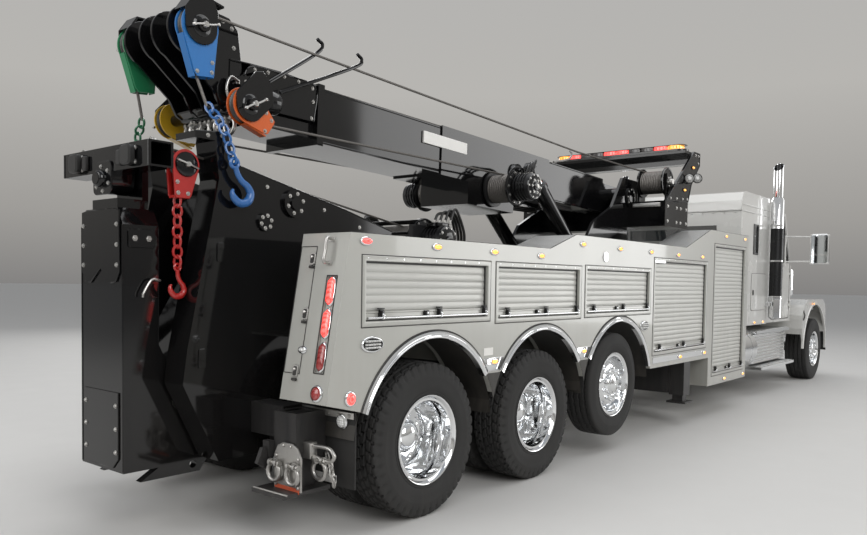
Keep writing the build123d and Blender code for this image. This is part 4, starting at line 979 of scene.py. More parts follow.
def lockers():
    """Every part is drawn on the left side, then mirrored."""
    curtain, frames, seals_and_shade_lines, bright, dark = [Pile() for _ in range(5)]
    bezels, lenses = Pile(), Pile()
    for x0, x1, z0, z1, out in DOORS:
        y, low = 1.264 + out, z0 + 0.04
        inner = (x0 + 0.034, x1 - 0.034, z0 + 0.034, z1 - 0.034)
        curtain += prism(slat_section(low + 0.052, z1 - 0.02, y), x0 + 0.02, x1 - 0.02)
        face = [
            (-0.034, y - 0.002), (-0.034, y + 0.031), (-0.03, y + 0.035), (-0.018, y + 0.037),
            (-0.004, y + 0.036), (0.0, y + 0.033), (0.0015, y + 0.0312), (0.0015, y - 0.002),
        ]
        frames += mitred(x0, x1, z0, z1, face, 1)
        # A dark rubber strip just inside each frame: painted shade for the shadow the frame casts on the
        # curtain, seen most as the line under the bottom rail
        seals_and_shade_lines += mitred(
            *inner, [(-0.012, y - 0.001), (-0.012, y + 0.01), (0.0, y + 0.012), (0.0, y - 0.001)], 1,
        )
        # A thin dark rubber joint round the frame's outer edge
        seals_and_shade_lines += mitred(
            x0, x1, z0, z1, [(0.001, y + 0.03), (0.001, y + 0.0335), (0.006, y + 0.0335), (0.006, y + 0.03)],
            1,
        )
        rail = [
            (y - 0.002, low), (y + 0.02, low), (y + 0.024, low + 0.004), (y + 0.024, low + 0.012),
            (y + 0.017, low + 0.016), (y + 0.015, low + 0.04), (y + 0.021, low + 0.044),
            (y + 0.021, low + 0.052), (y - 0.002, low + 0.054),
        ]
        frames += prism(rail, inner[0] + 0.002, inner[1] - 0.002)
        bright += tube(
            [at(inner[0] + 0.01, y + 0.038, low + 0.012), at(inner[1] - 0.01, y + 0.038, low + 0.012)],
            0.0075, 2, 10,
        )
        for k in (0.13, 0.56, 0.95):
            x = x0 + (x1 - x0) * k
            dark += slab(at(x, y + 0.029, low + 0.03), (0.04, 0.024, 0.062), 0.004)
            dark += slab(at(x, y + 0.026, low + 0.068), (0.054, 0.02, 0.01), 0.003)
            bright += slab(at(x + 0.004, y + 0.043, low + 0.02), (0.02, 0.01, 0.036), 0.004)
            bright += lathe(
                [(0, 0.007), (0.006, 0.006), (0.008, 0.0)], at(x + 0.004, y + 0.047, low + 0.026), ACROSS, 12,
            )
        middle = x0 + (x1 - x0) * 0.46
        dark += slab(at(middle, y + 0.022, low + 0.032), (0.05, 0.022, 0.036), 0.004)
        bright += lathe(
            [(0, 0.012), (0.008, 0.011), (0.01, 0.0)], at(middle, y + 0.028, low + 0.032), ACROSS, 16,
        )
    for places, y in (
        (AMBERS, BODY_Y), (FRONT_AMBERS, BODY_Y), (STRIP_AMBERS, 1.301), (SLEEPER_AMBERS, 1.13),
    ):
        for x, z in places:
            side_lamp(bezels, lenses, x, y, z)
    bright += side_plate(rounded(1.486, 0.062, 0.004), 0.006, 0.002, 4.265, BODY_Y, 0.8125)
    for x in (0.69, 2.055):
        tray = rounded(0.25, 0.1, 0.012)
        tray[:, 0] *= 1 + 1.3 * (tray[:, 1] - 0.05)
        bezels += side_plate(tray, 0.004, 0.001, x, 1.2948, 0.988)
    scene_lamps = Pile()
    for x, z in ((-0.6, 1.203), (3.3, 1.18)):
        bezels += side_oval(x, BODY_Y, z, 0.085, 0.038, BEZEL, closed=True)
        for row in (-0.02, 0.0, 0.02):
            for col in np.linspace(-0.055, 0.055, 6):
                scene_lamps += side_oval(
                    x + col, 1.296, z + row, 0.0085, 0.0075, LENS[:-1] + ((0.01, 0, 0.0225),), 10,
                )
        dark += side_oval(x, 1.2955, z, 0.085, 0.038, ((1, 0, 0), (1, 0, 0.004), (0.01, 0, 0.004)))
    trims, lines = Pile(), Pile()
    for x, z, rear_end, front_end in ARCHES:
        t = np.linspace(np.arcsin((front_end - z) / ARCH_R), np.pi - np.arcsin((rear_end - z) / ARCH_R), 64)
        band = np.array([
            (-0.034, 1.262), (-0.034, 1.3045), (-0.03, 1.3095), (-0.022, 1.3105), (-0.019, 1.3075),
            (-0.015, 1.3115), (-0.008, 1.312), (-0.005, 1.309), (0.0, 1.3105), (0.013, 1.3045),
            (0.016, 1.296), (0.016, 1.262),
        ])
        line = np.array([(0.0165, 1.262), (0.0165, 1.299), (0.021, 1.3015), (0.026, 1.2985), (0.027, 1.262)])
        for pile, section in ((trims, band), (lines, line)):
            r = (ARCH_R + section[None, :, 0])
            points = xyz(
                x + REAR_X + r * np.cos(t)[:, None], 0 * t[:, None] + section[None, :, 1],
                z + r * np.sin(t)[:, None],
            )
            n = len(section)
            pile.add(points, capped(64, n))
    roof = np.array([
        (-0.785, 1.8705), (1.468, 1.8705), (1.893, 2.0055), (4.367, 2.0055), (5.108, 2.2455), (6.5, 2.2455),
    ])
    tread = Pile()
    for a, b in zip(roof[:-1], roof[1:]):
        tread.add(
            [at(a[0], 0.885, a[1]), at(b[0], 0.885, b[1]), at(b[0], 1.285, b[1]), at(a[0], 1.285, a[1])],
            [[0, 1, 2, 3]],
        )
    dark += bead([at(px, 1.2905, pz + 0.0005) for px, pz in roof], 0.003, 6)
    rivets = []
    for x0, x1, z0, z1, out in DOORS:
        for x in np.arange(x0 + 0.05, x1, 0.16):
            rivets.append(at(x, 1.3005 + out, z1 - 0.016))
    bright += bolts(rivets, ACROSS, 0.0045, 0.002)
    blank = Pile()
    for x, z, w, h in ((0.62, 1.085, 0.115, 0.055), (0.66, 1.085, 0.002, 0.055)):
        blank += side_plate(rounded(w, h, 0.004), 0.0015, 0.0004, x, 1.2955, z)
    # Black sheets as painted shade inside the wheel openings, and black panels as painted shade low on the
    # body between two wheels
    painted_shade_sheets, shade_sheet_r = Pile(), 0.717
    for x, z, _, _ in ARCHES:
        t = np.linspace(np.radians(8), np.radians(172), 48)
        rows = [
            xyz(x + REAR_X + shade_sheet_r * np.cos(t), np.full(48, y), z + shade_sheet_r * np.sin(t))
            for y in (0.93, 1.26)
        ]
        painted_shade_sheets.add(np.concatenate(rows), grid_faces(2, 48))
    for (xa, za, _, _), (xb, zb, _, _) in zip(ARCHES[:-1], ARCHES[1:]):
        left = [(xa + np.sqrt(ARCH_R ** 2 - (z - za) ** 2), z) for z in np.linspace(0.925, 0.742, 8)]
        right = [(xb - np.sqrt(ARCH_R ** 2 - (z - zb) ** 2), z) for z in np.linspace(0.742, 0.925, 8)]
        painted_shade_sheets += plate(left + right, 0.002, 0.0005, at(0, 1.2952, 0), [1, 0, 0], SIDE_V, ACROSS)
    bright += lathe(
        [(0, 0.006), (0.03, 0.006), (0.034, 0.01), (0.044, 0.01), (0.047, 0.006), (0.047, 0.0)],
        at(2.43, BODY_Y, 1.835), ACROSS, 40,
    )
    bright += side_plate(rounded(0.27, 0.042, 0.015, 5), 0.005, 0.002, 3.66, BODY_Y, 1.835)
    body = "chassis"
    mirrored_pieces(body, (
        (
            curtain, "locker_curtains",
            finish(
                "Curtain slats", (0.5, 0.5, 0.475), 0.34, metal=0.35, dust=0.25, grain=420, bump=0.03,
                mottle=0.1,
            ),
            30, "shutters",
        ),
        (frames, "locker_door_frames", body_paint(), 25),
        # Rubber joints round the frames, and the painted shade line inside them
        (seals_and_shade_lines, "locker_seals_and_painted_shade", hose_rubber(), 30),
        # Dark rubber finish on sheets that stand for the shade inside the wheel openings and low between the
        # wheels
        (painted_shade_sheets, "wheel_opening_painted_shade", hose_rubber(), 40),
        (bright, "locker_latch_bars", chrome(), 40),
        (dark, "locker_latch_blocks", gloss_black(), 35),
        (bezels, "side_lamp_bezels", chrome(), 50),
        (lenses, "side_lamp_lenses", amber_lens(), 60, "marker_lamps"),
        (scene_lamps, "work_lamp_lenses", clear_lens(), 60),
        (trims, "arch_trim_bands", chrome(), 35, "arch_trims"),
        (lines, "arch_trim_rubbers", hose_rubber(), 40),
        (tread, "locker_roof_tread", treadplate(), 0),
        (blank, "blank_labels", blank_label(), 30),
    ))


class TOWTRUCK_OT_lockers(bpy.types.Operator):
    """Roller doors with their frames and latches, arch trims, side lamps and tread plate of the lockers"""

    bl_idname = "towtruck.lockers"
    bl_label = "Lockers"

    def execute(self, context):
        lockers()
        return {"FINISHED"}


# The boom's own line: the point that it starts from and how much it rises towards the rear
BOOM_X, BOOM_Z = 4.6, 2.62
BOOM_RISE = np.radians(2.05)
BOOM_U = np.array([-np.cos(BOOM_RISE), 0, np.sin(BOOM_RISE)])
BOOM_V = np.array([np.sin(BOOM_RISE), 0, np.cos(BOOM_RISE)])


def on_boom(x, y, z):
    """A point given along and above the boom's own line, with the truck's y."""
    return at(BOOM_X, y, BOOM_Z) + x * BOOM_U + z * BOOM_V


def boom_plate(outline, thick, edge, y, side):
    """A plate on the boom's side, its outline along and above the boom's line."""
    return plate(outline, thick, edge, at(BOOM_X, y, BOOM_Z), BOOM_U, BOOM_V, [0, side, 0])


def turned(points, angle, centre):
    """Points of a flat outline swung about its origin, then moved to the centre."""
    c, s = np.cos(angle), np.sin(angle)
    points = np.asarray(points, float)
    return np.stack([points[:, 0] * c + points[:, 1] * s, -points[:, 0] * s + points[:, 1] * c], 1) + centre


def guard_outline(r, reach):
    """A round head above a tail that narrows downward and has clipped corners."""
    t = np.radians(np.linspace(-22, 202, 22))
    half = r * 0.6
    arc = np.stack([(r + 0.01) * np.cos(t), (r + 0.01) * np.sin(t)], 1)
    tail = [(-half, -reach + 0.03), (-half + 0.02, -reach), (half - 0.02, -reach), (half, -reach + 0.03)]
    return np.concatenate([arc, tail])


def shackle(place, size, along, across, pile):
    """A bow shackle: a round bar bent to a horseshoe, closed by a pin with a collar.
    P = p + size (0.62 sin t across + (0.55 + 0.62 cos t) along)."""
    wire = size * 0.16
    along, across = np.asarray(along, float), np.asarray(across, float)
    t = np.radians(np.linspace(-148, 148, 25))[:, None]
    bow = np.asarray(place) + size * (0.62 * np.sin(t) * across + (0.55 + 0.62 * np.cos(t)) * along)
    pile += sweep(bow, disc(wire, 10))
    ends = [bow[0] - 0.12 * size * along, bow[-1] - 0.12 * size * along]
    out = (ends[1] - ends[0]) / np.linalg.norm(ends[1] - ends[0])
    for end in ends:
        pile += lathe(
            [
                (wire * 0.7, -wire * 0.7), (wire * 1.7, -wire * 0.7), (wire * 1.7, wire * 0.7),
                (wire * 0.7, wire * 0.7),
            ],
            end, out, 16,
        )
    first, last = ends[0] - out * wire * 1.8, ends[1] + out * wire * 1.4
    pile += sweep(np.linspace(first, last, 3), disc(wire * 0.8, 10))
    nut = [(0, wire), (wire * 1.3, wire), (wire * 1.3, 0), (0, 0)]
    pile += lathe(nut, ends[1] + out * wire * 1.2, out, 8)


def crane_hook(top, size, along, across, pile):
    """A forged hook below an eye: thickness grows to the bowl and tapers to the point."""
    along, across = np.asarray(along, float), np.asarray(across, float)
    path = np.array([
        (0, 0), (0.02, 0.22), (0.1, 0.42), (0.24, 0.6), (0.28, 0.82), (0.12, 1.0), (-0.12, 1.0),
        (-0.28, 0.84), (-0.32, 0.66), (-0.26, 0.56),
    ])
    thick = np.interp(
        np.linspace(0, 1, 9 * 8 + 1), [0, 0.2, 0.55, 0.8, 1], [0.075, 0.085, 0.13, 0.1, 0.035],
    ) * size
    line = curve_through(np.concatenate([path, np.zeros((len(path), 1))], 1), 8)
    points = np.asarray(top, float) + size * (line[:, 0:1] * across - line[:, 1:2] * along)
    pile += sweep(points, disc(1.0, 12), radius=thick)
    t = ring(20)[:, None]
    eye = np.asarray(top, float) + size * 0.13 * (np.cos(t) * across + (np.sin(t) + 0.9) * along)
    w = ring(8)
    radial = np.cos(t) * across + np.sin(t) * along
    out = np.cross(along, across)
    loop = eye[:, None] + 0.05 * size * (
        np.cos(w)[None, :, None] * radial[:, None] + np.sin(w)[None, :, None] * out
    )
    pile.add(loop.reshape(-1, 3), grid_faces(20, 8, True, True))


HEAD_HALF = 0.28  # half the width over the head's covers
# Colour, pin along and above the boom's line, wheel's y and radius, guard's reach and swing, pin's end
HEADS = (
    ("blue", (5.8, 0.3), -0.34, 0.12, 0.3, 8, 0.09), ("green", (5.8, 0.3), 0.34, 0.12, 0.3, 8, 0.09),
    ("orange", (5.48, -0.12), -0.42, 0.11, 0.215, 57, 0.1),
    ("yellow", (5.48, -0.12), 0.42, 0.11, 0.215, 57, 0.1),
)


def strip(line, thick, half):
    """A bent plate across the boom: its line along the boom is thickened downward."""
    line = np.asarray(line, float)
    outline = np.concatenate([line, (line - [0, thick])[::-1]])
    return boom_plate(outline, 2 * half, 0.001, -half, 1)


def around(pin, r, first, last, n=18):
    """Points of an arc about a pin on the boom, angles in degrees from its line."""
    t = np.radians(np.linspace(first, last, n))
    return [(pin[0] + r * np.cos(a), pin[1] + r * np.sin(a)) for a in t]


# Taut ropes: name, the two bodies, start and end (along the boom, above its line, y), radius, steps
SPANS = (
    ("turret_to_boom", "turret", "boom_outer", (-0.2, 0.312, 0.62), (0.9, 0.405, 0.27), 0.01, 25),
    ("along_outer", "boom_outer", "boom_middle", (0.9, 0.405, 0.27), (4.66, 0.404, 0.32), 0.01, 25),
    ("along_middle", "boom_middle", "boom_inner", (4.66, 0.404, 0.32), (5.8, 0.404, 0.34), 0.01, 25),
    ("side_outer", "boom_outer", "boom_middle", (2.52, -0.112, 0.43), (4.66, -0.186, 0.424), 0.009, 17),
    ("side_middle", "boom_middle", "boom_inner", (4.66, -0.186, 0.424), (5.48, -0.2145, 0.42), 0.009, 17),
)


def taut_ropes():
    """Each span is a pair of straight ropes between the two bodies that it joins, riding on neither."""
    for name, first, second, start, end, r, steps in SPANS:
        pile = Pile()
        line = np.linspace(start, end, steps)
        for side in (-1, 1):
            pile += sweep([on_boom(px, side * y, pz) for px, pz, y in line], disc(r, 8))
        ends = [tuple(on_boom(px, 0, pz)) for px, pz, _ in (start, end)]
        pile.piece(f"rope_{name}", rope_steel(), (first, second, *ends), 40)


def head_forms(body, steel):
    """The inner section, the hood of plates on its end, the four cheeks and both pins."""
    form, covers = Pile(), Pile()
    tip = [(-0.212, -0.144), (0.212, -0.144), (0.212, 0.144), (-0.212, 0.144)]
    form += plate(tip, 4.4, 0.002, on_boom(1.1, 0, 0), ACROSS, BOOM_V, BOOM_U)
    form += boom_plate([(5.42, -0.15), (5.42, 0.195), (5.5, 0.19), (5.5, -0.15)], 0.54, 0.003, -0.27, 1)
    form += strip([(4.765, 0.214), (5.067, 0.226), (5.345, 0.214), (5.5, 0.203)], 0.009, 0.272)
    upper, lower = HEADS[0][1], HEADS[2][1]
    cheek = [
        (5.62, -0.02), (5.56, -0.12), (5.42, -0.19), (5.4, 0.17), (5.44, 0.4), (5.51, 0.462), (5.66, 0.475),
    ]
    for y in (-0.26, -0.08, 0.06, 0.24):
        form += boom_plate(cheek + around(upper, 0.15, 100, -70), 0.02, 0.003, y, 1)
    form += strip([(5.44, 0.405), (5.51, 0.466), (5.62, 0.476)], 0.01, 0.24)
    form += strip([(5.425, -0.17), (5.56, -0.1)], 0.012, 0.24)
    for pin, reach, r in ((upper, 0.43, 0.04), (lower, 0.52, 0.04)):
        form += lathe(
            [
                (0, -reach), (r - 0.003, -reach), (r, -reach + 0.003), (r, reach - 0.003),
                (r - 0.003, reach), (0, reach),
            ],
            on_boom(pin[0], 0, pin[1]), ACROSS, 32,
        )
    for side in (-1, 1):
        cover = [
            (4.765, -0.06), (4.765, 0.206), (5.067, 0.218), (5.345, 0.206), (5.41, 0.12), (5.5, 0.06),
            (5.5, -0.15), (5.34, -0.15), (5.29, -0.07),
        ]
        covers += boom_plate(cover, 0.01, 0.002, side * 0.27, side)
        seam = [(4.775, -0.052), (4.775, 0.19), (5.067, 0.204), (5.335, 0.192), (5.398, 0.115)]
        covers += tube([on_boom(px, side * (HEAD_HALF + 0.001), pz) for px, pz in seam], 0.004, 8, 6)
        bolt_places = [
            (4.79, 0.08), (4.8, 0.175), (4.93, 0.19), (5.06, 0.195), (5.2, 0.188), (5.31, 0.178),
            (5.38, 0.08), (5.41, -0.02), (5.44, -0.12), (5.36, -0.13), (4.8, -0.04),
        ]
        steel += bolts(
            [on_boom(px, side * HEAD_HALF, pz) for px, pz in bolt_places], (0, side, 0), 0.01, 0.009,
        )
        steel += bolts(
            [
                on_boom(px, side * 0.26, pz)
                for px, pz in ((5.49, 0.4), (5.56, 0.43), (5.64, 0.44), (5.47, 0.28))
            ],
            (0, side, 0), 0.011, 0.01,
        )
        # Swivel housing and arm that carry the lower pulley
        covers += lathe(
            [
                (0, 0.0), (0.05, 0.0), (0.072, 0.012), (0.082, 0.034), (0.082, 0.126), (0.072, 0.15),
                (0.05, 0.162), (0, 0.162),
            ],
            on_boom(5.19, side * 0.375, -0.045), BOOM_U, 36,
        )
        covers += boom_plate(
            [(5.26, -0.12), (5.26, 0.03), (5.33, 0.05), (5.38, -0.12)], 0.115, 0.004, side * 0.275, side,
        )
        far = side * 0.463
        fork = [
            (5.3, -0.085), (5.31, 0.035), (5.39, 0.115), (5.45, 0.1), (5.585, -0.055),
        ] + around(lower, 0.105, 0, -130, 12)
        covers += boom_plate(fork, 0.014, 0.003, far, side)
        covers += boom_plate(
            [(5.3, -0.085), (5.31, 0.035), (5.335, 0.05), (5.34, -0.09)], 0.11, 0.003, side * 0.36, side,
        )
        covers += boom_plate(
            [(5.31, 0.035), (5.39, 0.115), (5.45, 0.1), (5.44, 0.088), (5.39, 0.102), (5.318, 0.028)], 0.1,
            0.002, side * 0.368, side,
        )
        # The outer fork plate and its bent top over the upper pulley
        shield = around(upper, 0.112, 190, 350, 20) + [
            (5.915, 0.39), (5.86, 0.475), (5.72, 0.485), (5.685, 0.41),
        ]
        covers += boom_plate(shield, 0.012, 0.003, side * 0.384, side)
        covers += boom_plate(
            [
                (5.913, 0.39), (5.86, 0.475), (5.72, 0.485), (5.64, 0.47), (5.64, 0.458), (5.72, 0.472),
                (5.852, 0.463), (5.903, 0.385),
            ],
            0.13, 0.002, side * 0.258, side,
        )
        # Ring on the head's side
        for pz in (0.06, -0.06):
            steel += slab(on_boom(5.455, side * 0.29, pz), (0.03, 0.022, 0.03), 0.003)
        ring_path = [(5.455, 0.06), (5.515, 0.075), (5.545, 0.0), (5.515, -0.075), (5.455, -0.06)]
        steel += tube([on_boom(px, side * 0.304, pz) for px, pz in ring_path], 0.01, 8, 10)
        for k in range(3):
            across = np.array([1.0, 0, 0]) if k % 2 else ACROSS
            shackle(on_boom(5.46, side * (0.05 + 0.09 * k), -0.175), 0.085, -BOOM_V, across, steel)
    # The two bent bars on the right side that slings are hung on
    for out, path in (
        (0.294, [(5.2, 0.12), (4.801, 0.416), (4.733, 0.5), (4.783, 0.532)]),
        (0.322, [(5.131, 0.06), (4.448, 0.407), (4.358, 0.487), (4.406, 0.521)]),
    ):
        covers += tube([on_boom(px, -out, pz) for px, pz in path], 0.0135, 16, 10)
        covers += lathe(
            [(0, 0), (0.022, 0.0), (0.022, out - 0.27), (0, out - 0.27)],
            on_boom(path[0][0], -0.275, path[0][1]), (0, -1, 0), 20,
        )
    covers.piece("boom_head_plates", gloss_black(), body, 35)
    form.piece("boom_head_form", gloss_black(), body, 35, ("boom_tip",))


def head_pulleys(body, steel):
    """Grooved wheels between painted guards, each with its cap, toggle and bolts."""
    wheels, caps = Pile(), Pile()
    for colour, pin, y, r, reach, swing, boss in HEADS:
        side = 1 if y > 0 else -1
        swing = np.radians(swing)
        guard = Pile()
        outline = turned(guard_outline(r, reach), swing, pin)
        for y0 in (y - 0.04, y + 0.03):
            guard += boom_plate(outline, 0.01, 0.002, y0, 1)
        half = r * 0.6
        for edge in (-1, 1):
            web = turned(
                [
                    (edge * (r + 0.004), -0.05), (edge * half, -reach), (edge * (half - 0.01), -reach),
                    (edge * (r - 0.008), -0.05),
                ],
                swing, pin,
            )
            guard += boom_plate(web, 0.06, 0.001, y - 0.03, 1)
        places = turned(
            [(half - 0.02, -reach + 0.03), (-half + 0.02, -reach + 0.03), (-half + 0.01, -reach + 0.09)],
            swing, pin,
        )
        steel += bolts([on_boom(px, y + side * 0.04, pz) for px, pz in places], (0, side, 0), 0.01, 0.01)
        guard.piece(f"guard_{colour}", guard_paint(f"{colour.title()} guard"), body, 30)
        groove = [
            (0.036, -0.024), (r - 0.012, -0.024), (r, -0.022), (r, -0.017), (r - 0.016, -0.009),
            (r - 0.021, 0.0), (r - 0.016, 0.009), (r, 0.017), (r, 0.022), (r - 0.012, 0.024), (0.036, 0.024),
        ]
        centre = on_boom(pin[0], y, pin[1])
        wheels += lathe(groove, centre, (0, side, 0), 56)
        caps += lathe([(0.0, 0.064), (0.06, 0.063), (0.066, 0.058), (0.066, 0.041)], centre, (0, side, 0), 40)
        steel += lathe(
            [(0.0, boss + 0.02), (0.016, boss + 0.019), (0.02, boss + 0.014), (0.02, boss - 0.002)], centre,
            (0, side, 0), 24,
        )
        handle = turned([(-0.085, 0.018), (-0.03, 0.004), (0.03, -0.004), (0.085, -0.018)], swing * 0.3, pin)
        steel += tube([on_boom(px, y + side * (boss + 0.012), pz) for px, pz in handle], 0.0065, 6, 8)
        for px, pz in (handle[0], handle[-1]):
            steel += lathe(
                [(0, -0.012), (0.009, -0.009), (0.012, 0), (0.009, 0.009), (0, 0.012)],
                on_boom(px, y + side * (boss + 0.012), pz), ACROSS, 12,
            )
    wheels.piece(
        "boom_sheave_wheels",
        finish("Cast pulley", (0.1, 0.1, 0.1), 0.45, metal=0.6, dust=0.3, grain=120, bump=0.2), body, 35,
        ("upper_sheaves", "lower_sheaves"),
    )
    caps.piece("boom_sheave_caps", gloss_black(), body, 40)


def head_ropes(body):
    """The taut ropes, the hanging ends over the upper pulleys, and the stowed hooks"""
    taut_ropes()
    hanging = Pile()
    for y in (-0.34, 0.34):
        wrap = [on_boom(px, y, pz) for px, pz in around(HEADS[0][1], 0.104, 90, -25, 14)]
        wrap += [on_boom(5.87, y, 0.17), on_boom(5.8, y, 0.02), on_boom(5.735, y * 1.1, -0.17)]
        hanging += sweep(wrap, disc(0.01, 8))
    hanging.piece("rope_over_head", rope_steel(), body, 40)
    for name, side in (("blue", -1), ("green", 1)):
        pile = Pile()
        pile += chain(
            [at(-1.137, side * 0.374, 2.665), at(-1.105, side * 0.5, 2.51), at(-1.055, side * 0.54, 2.3)],
            0.075, 0.0085,
        )
        crane_hook(
            at(-1.045, side * 0.542, 2.275), 0.22, np.array([-0.3, 0.0, 0.954]), np.array([0.954, 0.0, 0.3]),
            pile,
        )
        pile.piece(f"stowed_chain_{name}", guard_paint(f"{name.title()} chain"), body, 40)


def boom_head():
    """All that rides on the inner boom section's end."""
    body = "boom_inner"
    steel = Pile()
    head_forms(body, steel)
    head_pulleys(body, steel)
    steel.piece("boom_head_fittings", plated_steel(), body, 40)
    head_ropes(body)


class TOWTRUCK_OT_boom_head(bpy.types.Operator):
    """The head's plates, guarded pulleys, caps, stow hooks, ropes, shackles and hooks at the boom's end"""

    bl_idname = "towtruck.boom_head"
    bl_label = "Boom head and ropes"

    def execute(self, context):
        boom_head()
        return {"FINISHED"}


def on_tail(y, z, out=0.0):
    """A point on the lockers' leaning rear face, stood off by out."""
    return at(-0.79 - (1.87 - z) * 0.18 - 0.984 * out, y, z + 0.177 * out)


TAIL_N = np.array([-0.984, 0, 0.177])
TAIL_V = np.array([0.177, 0, 0.984])


def tail_plate(outline, thick, edge, place):
    """A plate on the lockers' leaning rear face."""
    return plate(outline, thick, edge, place, ACROSS, TAIL_V, TAIL_N)


